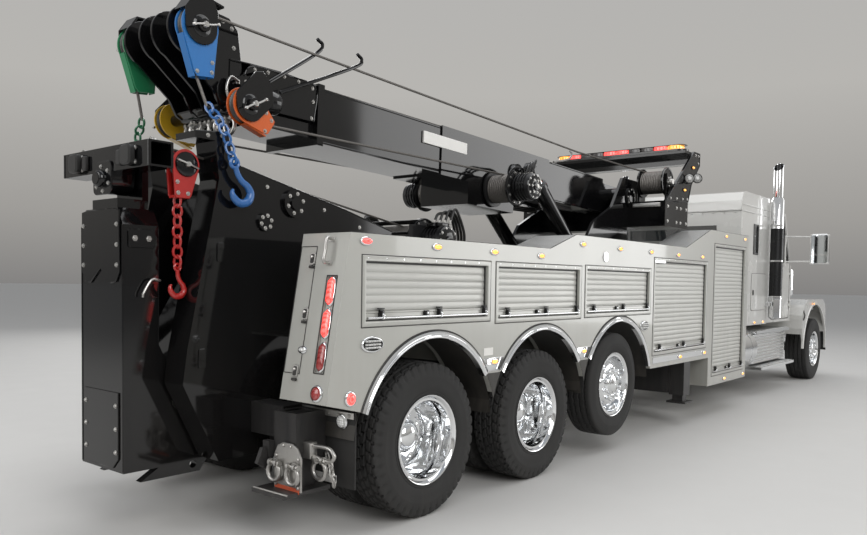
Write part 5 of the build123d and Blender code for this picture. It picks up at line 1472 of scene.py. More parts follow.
def tail():
    """Everything behind the lockers, on the leaning rear face and below it."""
    bezels, red, dim, steel, dark, blank, glow = [Pile() for _ in range(7)]
    for z, lens in ((1.525, red), (1.335, red), (1.14, dim)):
        place = on_tail(1.195, z, -0.012)
        bezels += oval(place, ACROSS, TAIL_V, TAIL_N, 0.031, 0.08, BEZEL, 48, True)
        shape = rounded(0.058, 0.156, 0.028, 8)
        swell = ((1.0, 0.002), (1.0, 0.012), (0.94, 0.017), (0.8, 0.0195), (0.5, 0.021), (0.02, 0.0215))
        rows = np.concatenate(
            [place + k * (shape[:, 0:1] * ACROSS + shape[:, 1:2] * TAIL_V) + h * TAIL_N for k, h in swell]
        )
        lens.add(rows, grid_faces(6, len(shape), wrap_cols=True))
    # Latches of the narrow rear doors, each a framed lock over a hinge block
    for y, z in ((1.009, 1.715), (1.012, 1.384), (0.996, 1.044)):
        place = on_tail(y, z)
        steel += tail_plate(rounded(0.044, 0.074, 0.012), 0.01, 0.003, place)
        dark += tail_plate(rounded(0.03, 0.056, 0.009), 0.004, 0.001, place + 0.009 * TAIL_N)
        steel += lathe(
            [(0, 0.024), (0.009, 0.022), (0.011, 0.016), (0.011, 0.01)], place + 0.01 * TAIL_V, TAIL_N, 20,
        )
        dark += tail_plate(rounded(0.04, 0.016, 0.004), 0.016, 0.003, place - 0.05 * TAIL_V)
    panel = np.array([(-0.085, 0.86), (-0.085, 0.1), (0.055, 0.1), (0.055, 0.86)])
    seam = [on_tail(0.975 + a, 0.93 + b, 0.0015) for a, b in panel]
    dark += bead(seam + seam[:1], 0.0025, 6)
    place = on_tail(1.031, 1.171)
    bezels += oval(place, ACROSS, TAIL_V, TAIL_N, 0.026, 0.012, BEZEL, 24, True)
    glow += oval(place, ACROSS, TAIL_V, TAIL_N, 0.026, 0.012, LENS, 24)
    # Grab bar on two brackets
    top, low = on_tail(1.152, 1.83, 0.045), on_tail(1.152, 1.69, 0.045)
    steel += tube(
        [on_tail(1.152, 1.83, 0.0), top, (top + low) / 2, low, on_tail(1.152, 1.69, 0.0)], 0.0105, 8, 12,
    )
    for z in (1.83, 1.69):
        steel += tail_plate(rounded(0.045, 0.03, 0.006), 0.006, 0.0015, on_tail(1.152, z))
    # Round lamps on the rear face and on the side near it, the oval one above, the white one by the flap
    for place, w, r, lens in (
        (on_tail(1.205, 0.93), TAIL_N, 0.038, dim), (at(-0.781, BODY_Y, 0.891), ACROSS, 0.034, red),
        (at(-0.7, 1.148, 0.73), BACK, 0.036, glow),
    ):
        u = np.cross(w, SIDE_V)
        u = u / np.linalg.norm(u)
        v = np.cross(u, w)
        bezels += oval(place, u, v, w, r, r, BEZEL, 40, True)
        lens += oval(place, u, v, w, r, r, LENS, 40)
    side_lamp(bezels, red, -0.661, BODY_Y, 1.824, 0.04, 0.015)
    # The frame round the pocket and the gutter bead down the body's rear corner
    corners = [
        on_tail(y, z, 0.001)
        for y, z in ((1.152, 1.615), (1.152, 1.045), (1.238, 1.045), (1.238, 1.615), (1.152, 1.615))
    ]
    dark += bead(corners, 0.004, 6)
    # Flap hardware: clamp strip with bolts, and lower weights
    steel += slab(at(-0.7, 0.945, 0.77), (0.01, 0.6, 0.04), 0.002)
    steel += bolts([at(-0.706, y, 0.77) for y in np.linspace(0.68, 1.21, 7)], BACK, 0.009, 0.008)
    blank += rear_plate(rounded(0.3, 0.052, 0.006), 0.002, 0.0005, -0.6935, 0.945, 0.36)
    # Towing gear: shackles on the jack's plate, a loop under the tow ring, bolts and a plain band
    jack = Pile()
    arch = [
        (-0.1235, 0.0), (0.1235, 0.0), (0.1235, 0.2), (0.09, 0.26), (0.04, 0.282), (-0.04, 0.282),
        (-0.09, 0.26), (-0.1235, 0.2),
    ]
    jack += rear_plate(arch, 0.014, 0.003, -0.948, 0.948, 0.324)
    jack += slab(at(-0.9265, 0.9, 0.43), (0.044, 0.12, 0.2), 0.003)
    steel += tube(
        [
            at(-0.85, y, z)
            for y, z in (
                (1.04, 0.588), (1.18, 0.592), (1.226, 0.57), (1.236, 0.54), (1.19, 0.512), (1.05, 0.528),
            )
        ],
        0.012, 10, 10,
    )
    steel += slab(at(-0.85, 1.025, 0.56), (0.06, 0.07, 0.1), 0.004)
    for y in (0.852, 1.02):
        shackle(at(-0.985, y, 0.47), 0.085, -SIDE_V, ACROSS, jack)
        jack += slab(at(-0.972, y, 0.475), (0.016, 0.03, 0.05), 0.004)
    jack += bolts(
        [
            at(-0.9625, y, z)
            for y, z in (
                (0.85, 0.35), (1.048, 0.35), (0.85, 0.52), (1.048, 0.52), (0.915, 0.59), (0.98, 0.59),
            )
        ],
        BACK, 0.01, 0.009,
    )
    jack += tube([at(-1.065, 0.76, 0.33), at(-1.065, 1.07, 0.33)], 0.006, 2, 8)
    shackle(at(-0.85, 1.11, 0.5), 0.09, -SIDE_V, ACROSS, steel)
    steel += chain(
        [
            at(-0.85, 1.205, 0.515), at(-0.845, 1.215, 0.42), at(-0.8, 1.19, 0.37), at(-0.76, 1.13, 0.42),
            at(-0.745, 1.06, 0.53),
        ],
        0.06, 0.0065,
    )
    band = Pile().add(*rear_plate(rounded(0.225, 0.034, 0.003), 0.0015, 0.0004, -0.9625, 0.948, 0.33))
    steel += bolts([at(-0.722, y, 0.73) for y in (0.82, 0.9, 0.98)], BACK, 0.01, 0.009)
    mirrored_pieces("chassis", (
        (bezels, "tail_lamp_bezels", chrome(), 50),
        (red, "tail_lamp_lenses_lit", red_lens(), 60),
        (dim, "tail_lamp_lenses", lamp_lens("Red lens", (0.35, 0.012, 0.01), 0.12, 190), 60),
        (glow, "tail_clear_lenses", clear_lens(), 60),
        (steel, "tail_fittings", plated_steel(), 40),
        (dark, "tail_seams", hose_rubber(), 40),
        (blank, "flap_blank_plates", blank_label(), 30),
    ))
    stripe = finish("Plain orange band", (0.6, 0.07, 0.01), 0.5, dust=0.2, grain=300)
    per_side("jack", "jack", (("gear", jack, plated_steel()), ("band", band, stripe)))


class TOWTRUCK_OT_tail(bpy.types.Operator):
    """Tail lamps in their pockets, latches, grab bars, round lamps, flap bolts and the towing gear below"""

    bl_idname = "towtruck.tail"
    bl_label = "Tail"

    def execute(self, context):
        tail()
        return {"FINISHED"}


def crossbar():
    """Hub flange, end collars, pins and rubber blocks of the crossbar."""
    hub, rubber, fit = Pile(), Pile(), Pile()
    shape = rounded(0.215, 0.2, 0.035)
    hub += rear_plate(shape, 0.012, 0.003, -1.605, 0, 2.185)
    hub += lathe(
        [
            (0, 0.052), (0.03, 0.052), (0.044, 0.048), (0.05, 0.04), (0.052, 0.012), (0.064, 0.01),
            (0.066, 0.0),
        ],
        at(-1.605, 0, 2.18), BACK, 40,
    )
    for side in (-1, 1):
        for z0 in (2.225, 2.365):
            hub += tube([at(-1.606, side * 0.505, z0), at(-1.454, side * 0.505, z0)], 0.005, 2, 8)
        for x in (-1.606, -1.454):
            hub += tube([at(x, side * 0.505, 2.222), at(x, side * 0.505, 2.368)], 0.005, 2, 8)
        fit += lathe(
            [(0, 0.02), (0.014, 0.019), (0.018, 0.014), (0.018, 0.0)], at(-1.53, side * 0.44, 2.37),
            (0, 0, 1), 20,
        )
        fit += tube(
            [at(-1.53, side * 0.44, 2.385), at(-1.53, side * 0.4, 2.402), at(-1.53, side * 0.36, 2.386)],
            0.004, 6, 6,
        )
        fit += bolts(
            [at(-1.605, side * y, z) for y in (0.27, 0.36) for z in (2.255, 2.335)], BACK, 0.011, 0.01,
        )
        fit += slab(at(-1.53, side * 0.315, 2.374), (0.11, 0.14, 0.008), 0.002)
        section = rounded(0.115, 0.118, 0.028)
        rubber += rear_plate(section, 0.045, 0.01, -1.606, side * 0.315, 2.295)
        lugs = rounded(0.05, 0.09, 0.012)
        rubber += rear_plate(lugs, 0.024, 0.006, -1.606, side * 0.205, 2.29)
    fit += bolts(
        [at(-1.617, 0.082 * np.cos(a), 2.18 + 0.075 * np.sin(a)) for a in ring(6, 0.4)], BACK, 0.01, 0.009,
    )
    hub.piece("crossbar_hub_plate", gloss_black(), "tow_bar", 40)
    rubber.piece("crossbar_rubber_blocks", hose_rubber(), "tow_bar", 40)
    fit.piece("crossbar_fittings", plated_steel(), "tow_bar", 40)


def stinger():
    """The stinger's stepped rear plate, edge beads, bolts, handles and the chain lug's pin."""
    cover, fittings = Pile(), Pile()
    outline = [
        (-0.225, 1.985), (-0.16, 1.995), (0.16, 1.995), (0.225, 1.985), (0.225, 1.62), (0.185, 1.56),
        (0.12, 1.552), (0.0, 1.64), (-0.12, 1.552), (-0.185, 1.56), (-0.225, 1.62),
    ]
    cover += rear_plate(outline, 0.012, 0.003, -1.62, 0, 0)
    lower = [(-0.205, 0.9), (0.205, 0.9), (0.205, 0.5), (0.14, 0.44), (-0.14, 0.44), (-0.205, 0.5)]
    cover += rear_plate(lower, 0.01, 0.003, -1.62, 0, 0)
    for side in (-1, 1):
        cover += tube([at(-1.6205, side * 0.2455, 0.43), at(-1.6205, side * 0.2455, 1.895)], 0.005, 2, 8)
        cover += tube([at(-1.39, side * 0.2455, 1.2), at(-1.39, side * 0.2455, 1.895)], 0.005, 2, 8)
        cover += plate(
            rounded(0.17, 0.11, 0.015), 0.01, 0.002, at(-1.505, side * 0.25, 1.82), SIDE_U, SIDE_V,
            [0, side, 0],
        )
        fittings += bolts(
            [at(-1.505 + dx, side * 0.26, 1.82) for dx in (-0.045, 0.045)], (0, side, 0), 0.013, 0.01,
        )
        handle = [
            at(-1.405, side * 0.252, 1.572), at(-1.405, side * 0.285, 1.572), at(-1.46, side * 0.29, 1.574),
            at(-1.51, side * 0.29, 1.5), at(-1.516, side * 0.286, 1.47),
        ]
        fittings += tube(handle, 0.008, 8, 8)
        heads = [at(-1.632, side * 0.2, z) for z in (1.66, 1.78, 1.9)]
        heads += [at(-1.63, side * 0.18, z) for z in (0.54, 0.68, 0.82)]
        fittings += bolts(heads, BACK, 0.011, 0.01)
        fittings += lathe(
            [(0.03, 0.0), (0.05, 0.001), (0.052, 0.01), (0.046, 0.014), (0.0, 0.014)],
            at(-1.24, side * 0.256, 0.82), (0, side, 0), 40,
        )
        fittings += bolts(
            circle(at, -1.24, side * 0.27, 0.82, 0.034, ring(4, 0.5)), (0, side, 0), 0.007, 0.006,
        )
    cover.piece("stinger_plates", gloss_black(), "stinger", 40)
    fittings.piece("stinger_fittings", plated_steel(), "stinger", 40)


PULLEY_X, PULLEY_Z = -1.29, 2.275  # axle of the small pulley on the mast's right side


def mast_pulley():
    """Red guard, wheel, cap and handle, with the chain and hook that hang from it."""
    x, z = PULLEY_X, PULLEY_Z
    guard, parts = Pile(), Pile()
    t = np.radians(np.linspace(-10, 190, 20))
    shape = np.concatenate([
        np.stack([0.092 * np.cos(t), 0.092 * np.sin(t)], 1),
        [(-0.075, -0.19), (-0.06, -0.205), (0.02, -0.205), (0.035, -0.19)],
    ])
    for inner in (0.31, 0.378):
        guard += plate(shape, 0.012, 0.002, at(x, -inner, z), SIDE_U, SIDE_V, [0, -1, 0])
    guard += plate(
        [(-0.075, -0.205), (0.035, -0.205), (0.035, -0.188), (-0.075, -0.188)], 0.056, 0.001,
        at(x, -0.322, z), SIDE_U, SIDE_V, [0, -1, 0],
    )
    parts += lathe(
        [
            (0.03, -0.026), (0.078, -0.026), (0.082, -0.018), (0.066, 0.0), (0.082, 0.018), (0.078, 0.026),
            (0.03, 0.026),
        ],
        at(x, -0.35, z), (0, -1, 0), 48,
    )
    parts += lathe(
        [(0, 0.016), (0.06, 0.016), (0.072, 0.012), (0.076, 0.004), (0.076, 0.0)], at(x, -0.39, z),
        (0, -1, 0), 40,
    )
    parts += plate(
        [(0.04, -0.03), (0.168, -0.03), (0.16, 0.03), (0.04, 0.03)], 0.04, 0.003, at(x, -0.31, z), SIDE_U,
        SIDE_V, [0, -1, 0],
    )
    bright = Pile()
    bright += bolts(
        [at(x + dx, -0.39, z + dz) for dx, dz in ((-0.055, -0.175), (0.012, -0.175), (-0.06, -0.11))],
        (0, -1, 0), 0.01, 0.009,
    )
    bright += tube(
        [at(x - 0.07, -0.414, z + 0.02), at(x, -0.42, z), at(x + 0.07, -0.414, z - 0.02)], 0.0065, 8, 8,
    )
    bright += lathe(
        [(0, 0.036), (0.014, 0.035), (0.018, 0.03), (0.018, 0.014)], at(x, -0.39, z), (0, -1, 0), 20,
    )
    red_chain = Pile()
    red_chain += chain(
        [at(x - 0.035, -0.35, z - 0.19), at(x - 0.035, -0.35, z - 0.41), at(x - 0.035, -0.35, z - 0.62)],
        0.075, 0.0085,
    )
    crane_hook(at(x - 0.035, -0.35, z - 0.64), 0.155, SIDE_V, SIDE_U, red_chain)
    red = guard_paint("Red guard")
    guard.piece("mast_pulley_guard", red, "chassis", 30, ("mast_sheave",))
    parts.piece("mast_pulley_wheel", gloss_black(), "chassis", 40)
    bright.piece("mast_pulley_bolts", plated_steel(), "chassis", 40)
    red_chain.piece("mast_pulley_chain", red, "chassis", 40)


def mast():
    """The deck winch's rope to the mast pulley, and beads, bolts and hoses on the mast."""
    x, z = PULLEY_X, PULLEY_Z
    rope = Pile()
    rope += tube(
        [
            at(1.05, -0.12, 2.045), at(-0.1, -0.22, 2.2), at(x + 0.02, -0.35, z + 0.072),
            at(x - 0.06, -0.35, z + 0.04), at(x - 0.05, -0.35, z - 0.15),
        ],
        0.0085, 24, 8,
    )
    rope.piece("deck_winch_rope", rope_steel(), "chassis", 40)
    mast, beads = Pile(), Pile()
    for cx, cz, r, out in ((-0.53, 2.1, 0.095, 0.506), (-0.77, 1.96, 0.06, 0.5)):
        mast += bolts(circle(at, cx, out, cz, 0.7 * r, ring(6, 0.3)), ACROSS, 0.01, 0.009)
    mast += side_bolts(
        0.48,
        ((-1.2, 2.455), (-1.1, 2.465), (-0.98, 2.24), (-0.75, 2.19), (-0.25, 2.08), (0.1, 1.98), (0.38, 1.9)),
        0.01, 0.009,
    )
    edge = [(-1.29, 2.47), (-1.06, 2.49), (-1.02, 2.31), (-0.06, 2.1), (0.45, 1.97)]
    beads += bead([at(px, 0.478, pz) for px, pz in edge], 0.005)
    for px, pz in ((-1.33, 1.1), (-1.2, 1.75)):
        beads += side_plate(rounded(0.05, 0.12, 0.012), 0.008, 0.002, px + 0.09, 0.48, pz)
    mast.mirrored().piece("mast_bolts", plated_steel(), "chassis", 40)
    beads.mirrored().piece("mast_edge_beads", gloss_black(), "chassis", 40)
    hoses = Pile()
    for k in range(4):
        y0 = 0.05 + 0.035 * k
        hoses += tube(
            [
                at(0.36, y0 - 0.1, 1.5), at(-0.1, y0 - 0.12, 1.95 + 0.02 * k), at(-0.55, y0 - 0.12, 2.24),
                at(-0.85, y0 - 0.11, 2.02), at(-1.02, y0 - 0.1, 1.6),
            ],
            0.011, 12, 8,
        )
    hoses.piece("underlift_hoses", hose_rubber(), "underlift_arm", 40)


class TOWTRUCK_OT_underlift(bpy.types.Operator):
    """The folded stinger's plates, hub, rubber blocks, and the mast's guarded pulley with its chain"""

    bl_idname = "towtruck.underlift"
    bl_label = "Underlift and mast"

    def execute(self, context):
        crossbar()
        stinger()
        mast_pulley()
        mast()
        return {"FINISHED"}


def light_bar(ambers):
    """A rounded black tray and lid with a row of lens modules between dark dividers."""
    tray, dark_lens, reds = Pile(), Pile(), Pile()
    tray += plate(rounded(0.226, 1.826, 0.1, 8), 0.03, 0.004, at(5.305, 0, 3.221), SIDE_U, ACROSS, [0, 0, 1])
    tray += plate(rounded(0.2, 1.79, 0.09, 8), 0.01, 0.004, at(5.305, 0, 3.298), SIDE_U, ACROSS, [0, 0, 1])
    for k, y in enumerate(np.linspace(-0.765, 0.765, 10)):
        pile = ambers if k in (0, 9) else reds if k in (1, 4, 5, 8) else dark_lens
        pile += plate(
            rounded(0.206, 0.158, 0.05 if k in (0, 9) else 0.02, 6), 0.048, 0.006, at(5.305, y, 3.25),
            SIDE_U, ACROSS, [0, 0, 1],
        )
        for step in (-0.045, 0.0, 0.045):
            tray += slab(at(5.201, y + step, 3.274), (0.003, 0.008, 0.034), 0.001)
    tray.piece("light_bar_tray", lamp_housing(), "turret", 40, ("light_bar",))
    dark_lens.piece(
        "light_bar_modules", finish("Smoked module", (0.06, 0.055, 0.055), 0.12, coat=0.6), "turret", 40,
    )
    reds.piece("light_bar_red", red_lens(), "turret", 40)


def turret_parts(ambers):
    """Layered rope, flange rims and bolts of the drums; lamps and beads of the portal and counterweight."""
    rope, fit, beads, shells, lenses = [Pile() for _ in range(5)]
    t = np.linspace(-0.138, 0.138, 97)
    turns = [(0.126 + 0.007 * abs(np.cos(a * np.pi / 0.0212)), a) for a in t]
    rope += lathe([(0.099, -0.139)] + turns + [(0.099, 0.139)], at(4.8, 0.72, 2.8), ACROSS, 64)
    for y in (0.5645, 0.8755):
        out = 1 if y > 0.72 else -1
        rim = [(0.15, 0.0), (0.15, 0.003), (0.158, 0.006), (0.168, 0.003), (0.168, -0.016), (0.15, -0.016)]
        beads += lathe(rim, at(4.8, y, 2.8), (0, out, 0), 56)
        if out > 0:
            fit += bolts(circle(at, 4.8, y + 0.026, 2.8, 0.055, ring(6, 0.2)), (0, out, 0), 0.009, 0.008)
    fit += lathe([(0, 0.045), (0.03, 0.044), (0.034, 0.036), (0.034, 0.0)], at(4.8, 0.9, 2.8), ACROSS, 32)
    beads += lathe(
        [(0.06, 0.0), (0.117, 0.0), (0.117, 0.014), (0.112, 0.018), (0.066, 0.018), (0.06, 0.014)],
        at(4.6, 0.5, 2.62), ACROSS, 48,
    )
    fit += bolts(circle(at, 4.6, 0.518, 2.62, 0.09, ring(8)), ACROSS, 0.009, 0.007)
    portal = [
        (4.6, 2.566), (5.245, 2.596), (5.345, 2.824), (5.594, 3.073), (5.594, 3.224), (5.412, 3.224),
        (4.6, 2.566),
    ]
    beads += bead([at(px, 0.951, pz) for px, pz in portal], 0.006)
    fit += side_bolts(
        0.951,
        ((4.72, 2.6), (4.9, 2.61), (5.08, 2.62), (5.22, 2.63), (5.55, 3.1), (5.55, 3.19), (5.46, 3.19)),
        0.011, 0.009,
    )
    aim = np.array([-0.8, 0.58, 0.1])
    aim = aim / np.linalg.norm(aim)
    u = np.cross(aim, SIDE_V)
    u = u / np.linalg.norm(u)
    for x, y, z in ((5.371, 1.01, 2.893), (5.156, 0.995, 2.869)):
        place = at(x, y, z)
        shells += lathe(
            [
                (0.0, -0.05), (0.03, -0.048), (0.052, -0.02), (0.06, 0.0), (0.06, 0.01), (0.054, 0.012),
                (0.052, 0.006),
            ],
            place, aim, 40,
        )
        lenses += oval(place, u, np.cross(u, aim), aim, 0.052, 0.052, LENS, 40)
        shells += tube(
            [at(x + 0.035, 0.948, z - 0.02), at(x + 0.035, 0.985, z - 0.03), place - 0.03 * aim], 0.01, 8, 8,
        )
    for x, z in ((5.376, 3.029), (5.119, 2.731)):
        side_lamp(shells, ambers, x, 0.95, z)
        ambers += oval(at(x, -0.95, z), SIDE_U, SIDE_V, -ACROSS, 0.037, 0.0135, LENS)
    # Long work lamp under each drum, edge beads of the counterweight and its bolts
    fit += slab(at(4.553, 0.73, 2.515), (0.02, 0.34, 0.045), 0.004)
    lenses += slab(at(4.541, 0.73, 2.515), (0.008, 0.32, 0.03), 0.003)
    beads += bead([at(4.5585, 0.952, 2.27), at(4.5585, 0.952, 2.557), at(4.958, 0.952, 2.562)], 0.005)
    fit += bolts(
        [at(px, 0.951, pz) for px in (4.64, 4.9, 5.02, 5.19) for pz in (2.33, 2.5)], ACROSS, 0.014, 0.011,
    )
    mirrored_pieces("turret", (
        (rope, "turret_winch_rope", rope_steel(), 40),
        (fit, "turret_fittings", plated_steel(), 40),
        (beads, "turret_beads", gloss_black(), 40),
        (shells, "work_lamp_shells", gloss_black(), 50),
        (lenses, "work_lamp_glass", lamp_lens("Work lamp lens", (0.3, 0.3, 0.29), 0.06), 60),
    ))
    ambers.piece("light_bar_amber", amber_lens(), "turret", 40)


def boom_side():
    """Blank plates and edge beads on the boom's sides."""
    label, boom = Pile(), Pile()
    for side in (-1, 1):
        label += boom_plate(
            [(2.94, 0.02), (3.55, 0.02), (3.55, 0.12), (2.94, 0.12)], 0.0165, 0.001, side * 0.268, side,
        )
        for z in (-0.188, 0.188):
            boom += tube([on_boom(3.31, side * 0.2685, z), on_boom(4.68, side * 0.2685, z)], 0.004, 2, 6)
            boom += tube([on_boom(0.27, side * 0.2685, z), on_boom(1.49, side * 0.2685, z)], 0.004, 2, 6)
    label.piece("boom_blank_plates", blank_label(), "boom_outer", 30)
    boom.piece("boom_beads", gloss_black(), "boom_outer", 40)


class TOWTRUCK_OT_turret(bpy.types.Operator):
    """Light bar, winch drums with their rope, work and marker lamps, bosses and beads of the turret"""

    bl_idname = "towtruck.turret"
    bl_label = "Turret and light bar"

    def execute(self, context):
        ambers = Pile()
        light_bar(ambers)
        turret_parts(ambers)
        boom_side()
        return {"FINISHED"}


def cab_parts():
    """Stacks, tank ends and straps, step boxes; the sleeper's seams, luggage door, rivets and grab bars."""
    bright, stacks, white, dark, smoke, steps = [Pile() for _ in range(6)]
    # Stacks: lower shield, pipe, and a mouth cut on a slant, z = 3.41 - 0.9 (r + r cos t), dark inside
    t, pipe, bore = ring(48), 0.0705, 0.064
    stack = at(8.03, 1.22, 0)
    for r, pile, low in ((pipe, stacks, 2.86), (bore, smoke, 2.95)):
        top = 3.408 - 0.9 * (pipe - r * np.cos(t))
        rows = [
            xyz(8.03 + REAR_X + r * np.cos(t), 1.22 + r * np.sin(t), low + (top - low) * k)
            for k in (0.0, 0.5, 1.0)
        ]
        pile.add(np.concatenate(rows), grid_faces(3, 48, wrap_cols=True))
    top = 3.408 - 0.9 * (pipe - pipe * np.cos(t))
    lip = [xyz(8.03 + REAR_X + r * np.cos(t), 1.22 + r * np.sin(t), top) for r in (pipe, bore)]
    stacks.add(np.concatenate(lip), grid_faces(2, 48, wrap_cols=True))
    stacks += lathe(
        [(0, 1.12), (0.08, 1.12), (0.092, 1.132), (0.092, 2.86), (0.0705, 2.895), (0.0705, 2.9)], stack,
        SIDE_V, 48,
    )
    for z in (1.4, 1.95, 2.47):
        stacks += lathe(
            [(0.092, z), (0.0965, z + 0.004), (0.0965, z + 0.026), (0.092, z + 0.03)], stack, SIDE_V, 48,
        )
    t0 = np.linspace(np.pi * 0.75, np.pi * 1.75, 25)
    shield = np.concatenate([
        xyz(8.03 + REAR_X + 0.0955 * np.cos(t0), 1.22 - 0.0955 * np.sin(t0), np.full(25, z))
        for z in np.linspace(1.45, 2.44, 3)
    ])
    smoke.add(shield, grid_faces(3, 25))
    for z in (1.33, 2.53):
        stacks += slab(at(7.93, 1.175, z), (0.06, 0.09, 0.06), 0.003)
        stacks += slab(at(7.96, 1.2, z), (0.1, 0.04, 0.05), 0.003)
    # Tanks: domed ends and straps. Steps: a ribbed box, y = 1.06 + 0.011 |cos| up its face, and treads
    for x, way in ((6.56, -1), (7.48, 1)):
        bright += lathe(
            [(0.329, 0.0), (0.326, 0.012), (0.3, 0.024), (0.2, 0.034), (0.0, 0.038)], at(x, 0.83, 0.69),
            (way, 0, 0), 56,
        )
    for x in (6.72, 7.3):
        bright += lathe(
            [(0.33, -0.03), (0.336, -0.03), (0.338, 0.0), (0.336, 0.03), (0.33, 0.03)], at(x, 0.83, 0.69),
            (1, 0, 0), 56,
        )
    z = np.linspace(0.46, 0.885, 109)
    face = np.stack([1.06 + 0.011 * np.abs(np.cos((z - 0.46) * np.pi / 0.047)), z], 1)
    box_section = [(0.72, 0.46)] + face.tolist() + [(0.72, 0.885)]
    bright += prism(box_section, 7.6, 9.18)
    for x in (7.598, 9.182):
        bright += slab(at(x, 0.892, 0.672), (0.01, 0.352, 0.43), 0.003)
    for y0, y1, top in ((0.73, 1.195, 0.421), (0.7, 1.115, 0.941)):
        for k in np.arange(7.6, 9.24, 0.06):
            steps += slab(at(k, (y0 + y1) / 2, top + 0.002), (0.022, y1 - y0 - 0.03, 0.006), 0.002)
    # Sleeper: roof seam, window frame, luggage door, rows of rivets, cab seams, grab bar and glass surrounds
    for points in (
        [at(6.702, 1.131, 2.612), at(7.93, 1.131, 2.612)],
        [at(6.699, 1.128, 2.612), at(6.699, -1.128, 2.612)],
        [at(6.72, 1.131, 2.7), at(7.93, 1.131, 2.7)],
    ):
        white += tube(points, 0.009, 2, 10)
    dark += mitred(
        7.25, 7.45, 2.05, 2.45,
        [(-0.012, 1.128), (-0.012, 1.137), (0.006, 1.139), (0.014, 1.134), (0.014, 1.128)], 1,
    )
    door = rounded(0.66, 0.52, 0.05, 6)
    white += side_plate(door, 0.006, 0.002, 7.53, 1.129, 1.51)
    edge = np.concatenate([door * 1.01, door[:1] * 1.01])
    dark += bead([at(7.53 + a, 1.1305, 1.51 + b) for a, b in edge], 0.0028, 5)
    dark += side_plate(rounded(0.035, 0.075, 0.01), 0.012, 0.003, 7.27, 1.134, 1.5)
    white += bolts([at(6.735, 1.1305, k) for k in np.arange(1.2, 2.6, 0.075)], ACROSS, 0.007, 0.004)
    white += bolts([at(7.92, 1.1305, k) for k in np.arange(1.2, 2.6, 0.075)], ACROSS, 0.007, 0.004)
    white += bolts([at(6.698, k, 2.585) for k in np.arange(-1.05, 1.06, 0.15)], BACK, 0.007, 0.004)
    bright += tube(
        [
            at(8.3, 1.062, 2.3), at(8.3, 1.12, 2.28), at(8.3, 1.125, 1.85), at(8.3, 1.12, 1.42),
            at(8.3, 1.062, 1.4),
        ],
        0.015, 20, 12,
    )
    for k in (2.3, 1.4):
        bright += lathe([(0, 0.01), (0.024, 0.008), (0.028, 0.0)], at(8.3, 1.06, k), ACROSS, 20)
    for x in (7.37, 7.76):
        bright += slab(at(x, 1.127, 1.075), (0.09, 0.008, 0.036), 0.003)
    frame_line = [at(8.0, 1.061, 1.1), at(8.0, 1.061, 2.66)]
    dark += tube(frame_line, 0.003, 2, 6)
    mirrored_pieces("chassis", (
        (stacks, "exhaust_stack_pipes", chrome(), 40, "exhaust_stacks"),
        (bright, "cab_brightwork", chrome(), 40),
        (
            smoke, "stack_shields",
            finish("Dark stack metal", (0.035, 0.036, 0.038), 0.28, metal=0.9, dust=0.2), 50,
        ),
        (white, "cab_panels", cab_paint(), 40),
        (dark, "cab_rubbers", hose_rubber(), 40),
        (steps, "step_treads", bright_alloy(), 30),
    ))


def hood_parts():
    """Seams, air cleaners, headlamp pods, grille bars, wing flares and their amber lamps."""
    hood, skin, seal, ambers, glow = [Pile() for _ in range(5)]
    can = [
        (0, 1.43), (0.1, 1.43), (0.138, 1.444), (0.15, 1.474), (0.15, 1.846), (0.138, 1.876), (0.1, 1.89),
        (0, 1.89),
    ]
    hood += lathe(can, at(9.705, 0.89, 0), SIDE_V, 56)
    for k in (1.54, 1.775):
        hood += lathe(
            [(0.15, k), (0.155, k + 0.003), (0.155, k + 0.023), (0.15, k + 0.026)], at(9.705, 0.89, 0),
            SIDE_V, 56,
        )
    hood += lathe([(0, 0.0), (0.062, 0.0), (0.062, 0.21), (0, 0.21)], at(9.705, 0.555, 1.66), ACROSS, 32)
    pod = rounded(0.34, 0.165, 0.06, 8)
    hood += plate(pod, 0.18, 0.012, at(11.05, 0.89, 1.26), ACROSS, SIDE_V, [1, 0, 0])
    hood += oval(at(11.23, 0.89, 1.26), ACROSS, SIDE_V, [1, 0, 0], 0.07, 0.064, BEZEL, 40, True)
    glow += oval(at(11.23, 0.89, 1.26), ACROSS, SIDE_V, [1, 0, 0], 0.07, 0.064, LENS, 40)
    for k in np.linspace(0.985, 1.475, 14):
        hood += slab(at(11.264, 0, k), (0.01, 0.78, 0.014), 0.002)
    for y in (0.14, 0.4):
        hood += slab(at(11.266, y, 1.23), (0.014, 0.018, 0.52), 0.003)
    t = np.linspace(np.radians(-3), np.radians(178), 64)
    flare = np.array([
        (-0.004, 1.196), (-0.004, 1.2245), (0.006, 1.2285), (0.03, 1.2285), (0.042, 1.2245), (0.046, 1.2195),
        (0.046, 1.196),
    ])
    r = 0.745 + flare[None, :, 0]
    points = xyz(
        10.5 + REAR_X + r * np.cos(t)[:, None], 0 * t[:, None] + flare[None, :, 1],
        0.545 + r * np.sin(t)[:, None],
    )
    skin.add(points, capped(64, 7))
    for x0, z0, x1, z1 in ((9.8, 1.945, 10.95, 1.765), (9.56, 1.3, 9.56, 1.93), (9.6, 1.52, 11.15, 1.42)):
        seal += tube([at(x0, 0.5615, z0), at(x1, 0.5615, z1)], 0.003, 2, 6)
    side_lamp(hood, ambers, 10.29, 1.2285, 1.307)
    seal += tube([at(9.7, 1.222, 1.18), at(9.7, 1.24, 1.12), at(9.7, 1.222, 1.04)], 0.01, 10, 8)
    seal += side_plate(rounded(0.03, 0.05, 0.008), 0.012, 0.003, 9.7, 1.22, 1.18)
    mirrored_pieces("hood", (
        (hood, "hood_brightwork", chrome(), 40),
        (skin, "wing_flares", cab_paint(), 40),
        (seal, "hood_seals", hose_rubber(), 40),
        (ambers, "hood_amber_lenses", amber_lens(), 60),
        (glow, "headlamp_lenses", clear_lens(), 60),
    ))


